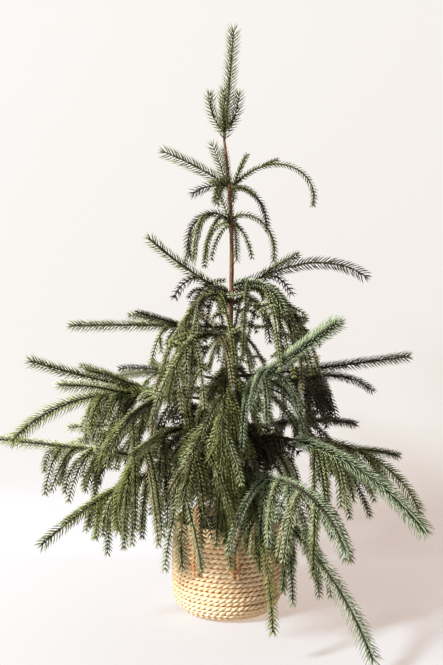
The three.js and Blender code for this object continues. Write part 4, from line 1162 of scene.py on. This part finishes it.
def needle_mesh(name, sprays, chance):
    """All needles of some sprays as one mesh: three-sided, bent at half length, with a point."""
    grown = [needles_of(shoot, chance) for shoot in sprays]
    roots, bends, tips, along, radius = [np.concatenate(part) for part in zip(*grown)]
    finish = np.concatenate([np.full(len(needle[0]), spray_finish(shoot, chance))
                             for needle, shoot in zip(grown, sprays)])
    way = unit(tips - roots)
    aside = np.cross(way, along)
    aside /= np.linalg.norm(aside, axis=1)[:, None] + 1e-9
    upward = np.cross(aside, way)
    root_ring, bend_ring = [], []
    for k in range(NEEDLE_SIDES):
        turn = 2 * math.pi * k / NEEDLE_SIDES
        out = radius[:, None] * (math.cos(turn) * aside + math.sin(turn) * upward)
        root_ring.append(roots + NEEDLE_ROOT_SHARE * out)
        bend_ring.append(bends + out)
    points = np.stack([*root_ring, *bend_ring, tips], axis=1).reshape(-1, 3)
    skin = np.array([[0, 1, 4], [0, 4, 3], [1, 2, 5], [1, 5, 4], [2, 0, 3], [2, 3, 5],
                     [3, 4, 6], [4, 5, 6], [5, 3, 6]])
    first_points = len(root_ring + bend_ring + [tips]) * np.arange(len(roots))
    faces = (first_points[:, None, None] + skin[None]).reshape(-1, 3)
    mesh = array_mesh(name, points, faces)
    mesh.polygons.foreach_set("material_index", np.repeat(finish, len(skin)).astype(np.int32))
    # How far out along each needle, which sets how much painted shade it gets.
    outer = [NEEDLE_FOOT] * NEEDLE_SIDES + [NEEDLE_BEND] * NEEDLE_SIDES + [NEEDLE_TIP]
    give_values(mesh, "outer", np.tile(outer, len(roots)))
    mesh.update(calc_edges=True)
    return mesh


for tier in TIERS + [LEADER_TIER]:
    sprays = [s for s in shoots if s["bough"]["tier"] == tier]
    mesh = needle_mesh(f"needles_ring_{tier}", sprays, np.random.default_rng(NEEDLE_SEED + tier))
    needles = add_piece(f"needles_ring_{tier}", mesh)
    for finish in needle_finishes:
        mesh.materials.append(finish)
    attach(needles, "root")
    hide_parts(*sorted({f"foliage_{s['bough']['tier']}_{s['bough']['side']}" for s in sprays}))


# Floor and backdrop
# A plain pale floor that sweeps up into a pale wall behind the plant. The wall is see-through
# from behind, so that it never stands between the plant and a viewer.
WALL_Y = 0.66
SWEEP_RADIUS = 0.22
STAGE_WIDTH = 12.0
FLOOR_SIZE = 24
WALL_TOP = 5.0
SWEEP_POINTS = 24
SWEEP_LIFT = 0.0004
FLOOR_COLOUR, FLOOR_GLOW = (132, 148, 159), (0.470, 0.372, 0.322, 1)
WALL_COLOUR, WALL_GLOW = (84, 99, 108), (0.645, 0.574, 0.522, 1)


def stage_finish(name):
    """A matt pale surface that glows faintly, floor below and wall above, so shadows stay light."""
    material, tree, shader = new_finish(name, roughness=0.9)
    place = add_node(tree, "TexCoord", {})
    split = add_node(tree, "SeparateXYZ", {"Vector": place.outputs["Object"]})
    height = add_node(tree, "MapRange", {"Value": split.outputs["Z"], "From Max": 2 * SWEEP_RADIUS},
                      interpolation_type="SMOOTHSTEP")
    colours = {"Base Color": (linear(*FLOOR_COLOUR), linear(*WALL_COLOUR)),
               "Emission Color": (FLOOR_GLOW, WALL_GLOW)}
    for socket, (low, high) in colours.items():
        mix = add_node(tree, "Mix", {"Factor": height.outputs["Result"], "A": low, "B": high},
                       data_type="RGBA")
        set_inputs(tree, shader, {socket: mix.outputs["Result"]})
    set_inputs(tree, shader, {"Emission Strength": 1.0})
    return material


bpy.ops.object.select_all(action="DESELECT")
bpy.ops.mesh.primitive_plane_add(size=FLOOR_SIZE, location=(0, 0, 0))
floor = bpy.context.object
floor.name = "floor"
floor.data.materials.append(stage_finish("pale_floor"))

sweep_line = [(WALL_Y - SWEEP_RADIUS + SWEEP_RADIUS * math.sin(turn),
               SWEEP_LIFT + SWEEP_RADIUS * (1 - math.cos(turn)))
              for turn in np.linspace(0, math.pi / 2, SWEEP_POINTS)] + [(WALL_Y, WALL_TOP)]
backdrop_mesh = bpy.data.meshes.new("backdrop")
backdrop_points = [(x, y, z) for y, z in sweep_line for x in (-STAGE_WIDTH / 2, STAGE_WIDTH / 2)]
backdrop_faces = [(2 * k, 2 * k + 1, 2 * k + 3, 2 * k + 2) for k in range(len(sweep_line) - 1)]
backdrop_mesh.from_pydata(backdrop_points, [], backdrop_faces)
backdrop_mesh.shade_smooth()
backdrop = add_piece("backdrop", backdrop_mesh)
pale_wall = stage_finish("pale_wall")
wall_tree = pale_wall.node_tree
wall_face = wall_tree.nodes["Principled BSDF"]
clear_back = add_node(wall_tree, "BsdfTransparent", {})
which_side = add_node(wall_tree, "NewGeometry", {})
one_way = add_node(wall_tree, "MixShader", {"Fac": which_side.outputs["Backfacing"],
                                            1: wall_face.outputs["BSDF"], 2: clear_back.outputs["BSDF"]})
set_inputs(wall_tree, wall_tree.nodes["Material Output"], {"Surface": one_way.outputs["Shader"]})
backdrop_mesh.materials.append(pale_wall)


# Light
# One broad soft light from the front left, as from a window, a wide faint one overhead and
# an even pale surround.
SURROUND_COLOUR = (1.0, 0.91, 0.80, 1)
SURROUND_STRENGTH = 0.13


def soft_light(name, place, aim, size, power, colour):
    """A round soft light that stands at a place and shines at its aim."""
    bpy.ops.object.light_add(type="AREA", location=place)
    lamp = bpy.context.object
    lamp.name = name
    lamp.data.shape = "DISK"
    lamp.data.size = size
    lamp.data.energy = power
    lamp.data.color = colour
    way = np.array(aim) - np.array(place)
    tilt = math.atan2(math.hypot(way[0], way[1]), -way[2])
    turn = math.atan2(way[0], -way[1]) + math.pi
    lamp.rotation_mode = "XYZ"
    lamp.rotation_euler = (tilt, 0, turn)


soft_light("window_light", place=(-9.0, -5.9, 7.0), aim=(0, 0, 0.6), size=2.2, power=2650,
           colour=(1.0, 0.985, 0.965))
soft_light("ceiling_light", place=(-0.6, -1.4, 4.2), aim=(0, 0, 0.4), size=4.0, power=8,
           colour=(1.0, 0.985, 0.97))
surround = bpy.data.worlds.new("pale_surround")
surround.use_nodes = True
set_inputs(surround.node_tree, surround.node_tree.nodes["Background"],
           {"Color": SURROUND_COLOUR, "Strength": SURROUND_STRENGTH})
bpy.context.scene.world = surround
bpy.context.scene.view_settings.view_transform = "Standard"
bpy.context.scene.view_settings.look = "Medium High Contrast"


# Camera
# Stands in front of the plant at chest height, level with the middle of the crown, and looks
# very slightly down.
CAMERA_PLACE = (-0.0154, -2.3, 0.85)
CAMERA_PITCH = 1.9
CAMERA_LENS = 44.55
CAMERA_SENSOR = 36

bpy.ops.object.camera_add(location=CAMERA_PLACE, rotation=(math.radians(90 - CAMERA_PITCH), 0, 0))
camera = bpy.context.object
camera.data.sensor_width = CAMERA_SENSOR
camera.data.lens = CAMERA_LENS
bpy.context.scene.camera = camera
